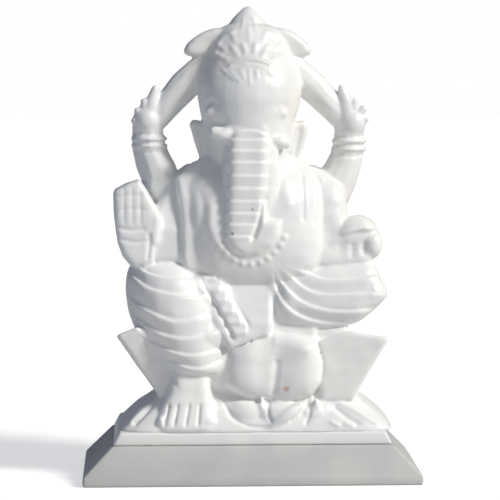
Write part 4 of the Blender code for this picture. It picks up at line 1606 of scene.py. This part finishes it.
@dataclass
class Studio:
    """Pale floor, one soft key from the idol's upper left, cool fill and the camera.

    Attributes:
        view_width: Width of what the camera takes in at the idol.
        view_drop: How far the view is lowered, as a share of its width.
    """

    distance: float = 800.0
    azimuth: float = -2.5
    elevation: float = 5.0
    target_z: float = 76.0
    key_from: tuple[float, float, float] = (0.69, -0.42, 0.60)
    key_strength: float = 2.85
    key_softness: float = 0.22
    fill_strength: float = 0.17
    front_fill: float = 0.42
    shade_colour: str = "a9bff0"
    front_colour: str = "f4f3ee"
    floor_glow: float = 0.55
    floor_colour: str = "dcdcdc"
    floor_size: float = 6000.0
    key_colour: str = "fffdf8"
    sensor: float = 36.0
    view_width: float = 161.2903
    view_drop: float = 0.0216

    def build(self) -> None:
        """Set the floor, the light and the camera."""
        self._floor()
        self._fill()
        self._key()
        self._camera()
        bpy.context.scene.view_settings.view_transform = "Standard"

    def _floor(self) -> None:
        """Lay a matt white floor that glows a little, as a lit sweep does."""
        deselect()
        bpy.ops.mesh.primitive_plane_add(size=self.floor_size * MM, location=(0, 0, 0))
        floor = bpy.context.active_object
        floor.name = "studio_floor"
        paper = bpy.data.materials.new("matt_white_paper")
        paper.use_nodes = True
        tree = paper.node_tree
        shader = tree.nodes["Principled BSDF"]
        shader.inputs["Base Color"].default_value = linear(self.floor_colour)
        shader.inputs["Roughness"].default_value = 0.95
        shader.inputs["Emission Color"].default_value = linear("ffffff")
        seen = add_node(tree, "ShaderNodeLightPath").outputs["Is Camera Ray"]
        glow = add_node(
            tree, "ShaderNodeMath", {0: seen}, {1: self.floor_glow}, operation="MULTIPLY"
        )
        tree.links.new(glow.outputs[0], shader.inputs["Emission Strength"])
        floor.data.materials.append(paper)

    def _fill(self) -> None:
        """Light the shade with an even sky, cooler on one side, and show plain white behind."""
        world = bpy.data.worlds.new("daylight")
        world.use_nodes = True
        tree = world.node_tree
        sky = tree.nodes["Background"]
        heading = add_node(tree, "ShaderNodeTexCoord").outputs["Generated"]
        parts = add_node(tree, "ShaderNodeSeparateXYZ", {0: heading})
        shade_side = add_node(
            tree, "ShaderNodeMapRange", {0: parts.outputs["X"]},
            {"From Min": -0.8, "From Max": 0.3, "To Min": 0.0, "To Max": 1.0},
        )
        tint = add_node(
            tree, "ShaderNodeMix", {"Factor": shade_side.outputs["Result"]},
            {6: linear(self.shade_colour), 7: linear(self.front_colour)}, data_type="RGBA",
        )
        front = add_node(
            tree, "ShaderNodeMapRange", {0: parts.outputs["Y"]},
            {
                "From Min": -1.0, "From Max": 0.1, "To Min": self.front_fill,
                "To Max": self.fill_strength,
            },
        )
        tree.links.new(tint.outputs[2], sky.inputs["Color"])
        tree.links.new(front.outputs["Result"], sky.inputs["Strength"])
        seen = add_node(tree, "ShaderNodeLightPath").outputs["Is Camera Ray"]
        white = add_node(
            tree, "ShaderNodeBackground", None, {"Color": linear("ffffff"), "Strength": 1.0}
        )
        both = add_node(
            tree, "ShaderNodeMixShader", {0: seen, 1: sky.outputs[0], 2: white.outputs[0]}
        )
        tree.links.new(both.outputs[0], tree.nodes["World Output"].inputs["Surface"])
        bpy.context.scene.world = world

    def _key(self) -> None:
        """Add the soft key light."""
        deselect()
        bpy.ops.object.light_add(type="SUN", location=Vector(self.key_from) * 1.5)
        key = bpy.context.active_object
        key.name = "key_light"
        key.data.energy = self.key_strength
        key.data.angle = self.key_softness
        key.data.color = linear(self.key_colour)[:3]
        key.rotation_euler = (-Vector(self.key_from)).to_track_quat("-Z", "Y").to_euler()

    def _camera(self) -> None:
        """Stand the camera in front, a little above the middle."""
        azimuth, elevation = math.radians(self.azimuth), math.radians(self.elevation)
        level = math.cos(elevation)
        back = Vector((math.sin(azimuth) * level, -math.cos(azimuth) * level, math.sin(elevation)))
        target = Vector((0, 0, self.target_z * MM))
        deselect()
        bpy.ops.object.camera_add(location=target + back * self.distance * MM)
        camera = bpy.context.active_object
        camera.rotation_euler = (-back).to_track_quat("-Z", "Y").to_euler()
        camera.data.sensor_width = self.sensor
        camera.data.lens = self.sensor * self.distance / self.view_width
        camera.data.shift_y = -self.view_drop
        camera.data.clip_start = 0.01
        bpy.context.scene.camera = camera


def hand_over(piece: bpy.types.Object, node: str, marble: bpy.types.Material) -> None:
    """Dress a piece and tell the frame what it stands for.

    Args:
        piece: The finished piece.
        node: The CAD node it replaces.
        marble: Its finish.
    """
    piece.data.materials.clear()
    piece.data.materials.append(marble)
    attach(piece, "root")
    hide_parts(node)
    LOG.info("%s: %d faces", piece.name, len(piece.data.polygons))


def main() -> None:
    """Build the idol, part it, dress it and light it."""
    logging.basicConfig(level=logging.INFO, format="%(name)s %(message)s")
    stone = Stone()
    base = Plinth()
    assemblies = [LotusSeat(), Mouse(), Legs(), Torso(), FrontArms(), RearArms(), Head(), Crown()]
    pieces = base.build()
    for assembly in assemblies:
        assembly.rough_out(stone)
    stone.fuse()
    for assembly in assemblies:
        stone.carve(assembly.strokes())
    stone.finish_surface()
    carved = [name for name in sorted(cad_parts) if name not in pieces]
    pieces.update(Parting().split(stone, carved))
    # Rubbed with fine grit and handled since: soft, wide highlights and three natural specks.
    rubbed = Marble(
        specks=(
            (-0.1, -21.0, 87.1, 0.55, "8a8178"), (-6.4, -21.5, 79.5, 0.75, "7c746b"),
            (10.5, -20.5, 30.3, 1.2, "d8a88e"),
        )
    ).material()
    # Sawn and left nearly as cut: duller, with its honey veins plainly seen. Its colour is set
    # greyer, so the whole plinth reads darker.
    sawn = Marble(
        name="white_marble_sawn_base", body_colour="c8c8c6", cloud_colour="bcbdbd",
        vein_colour="cdb39a", vein_strength=0.6, roughness=0.55,
    ).material()
    base.dress(pieces, sawn, rubbed)
    for assembly in assemblies:
        assembly.dress(pieces, rubbed)
    Studio().build()


if __name__ == "__main__":
    main()
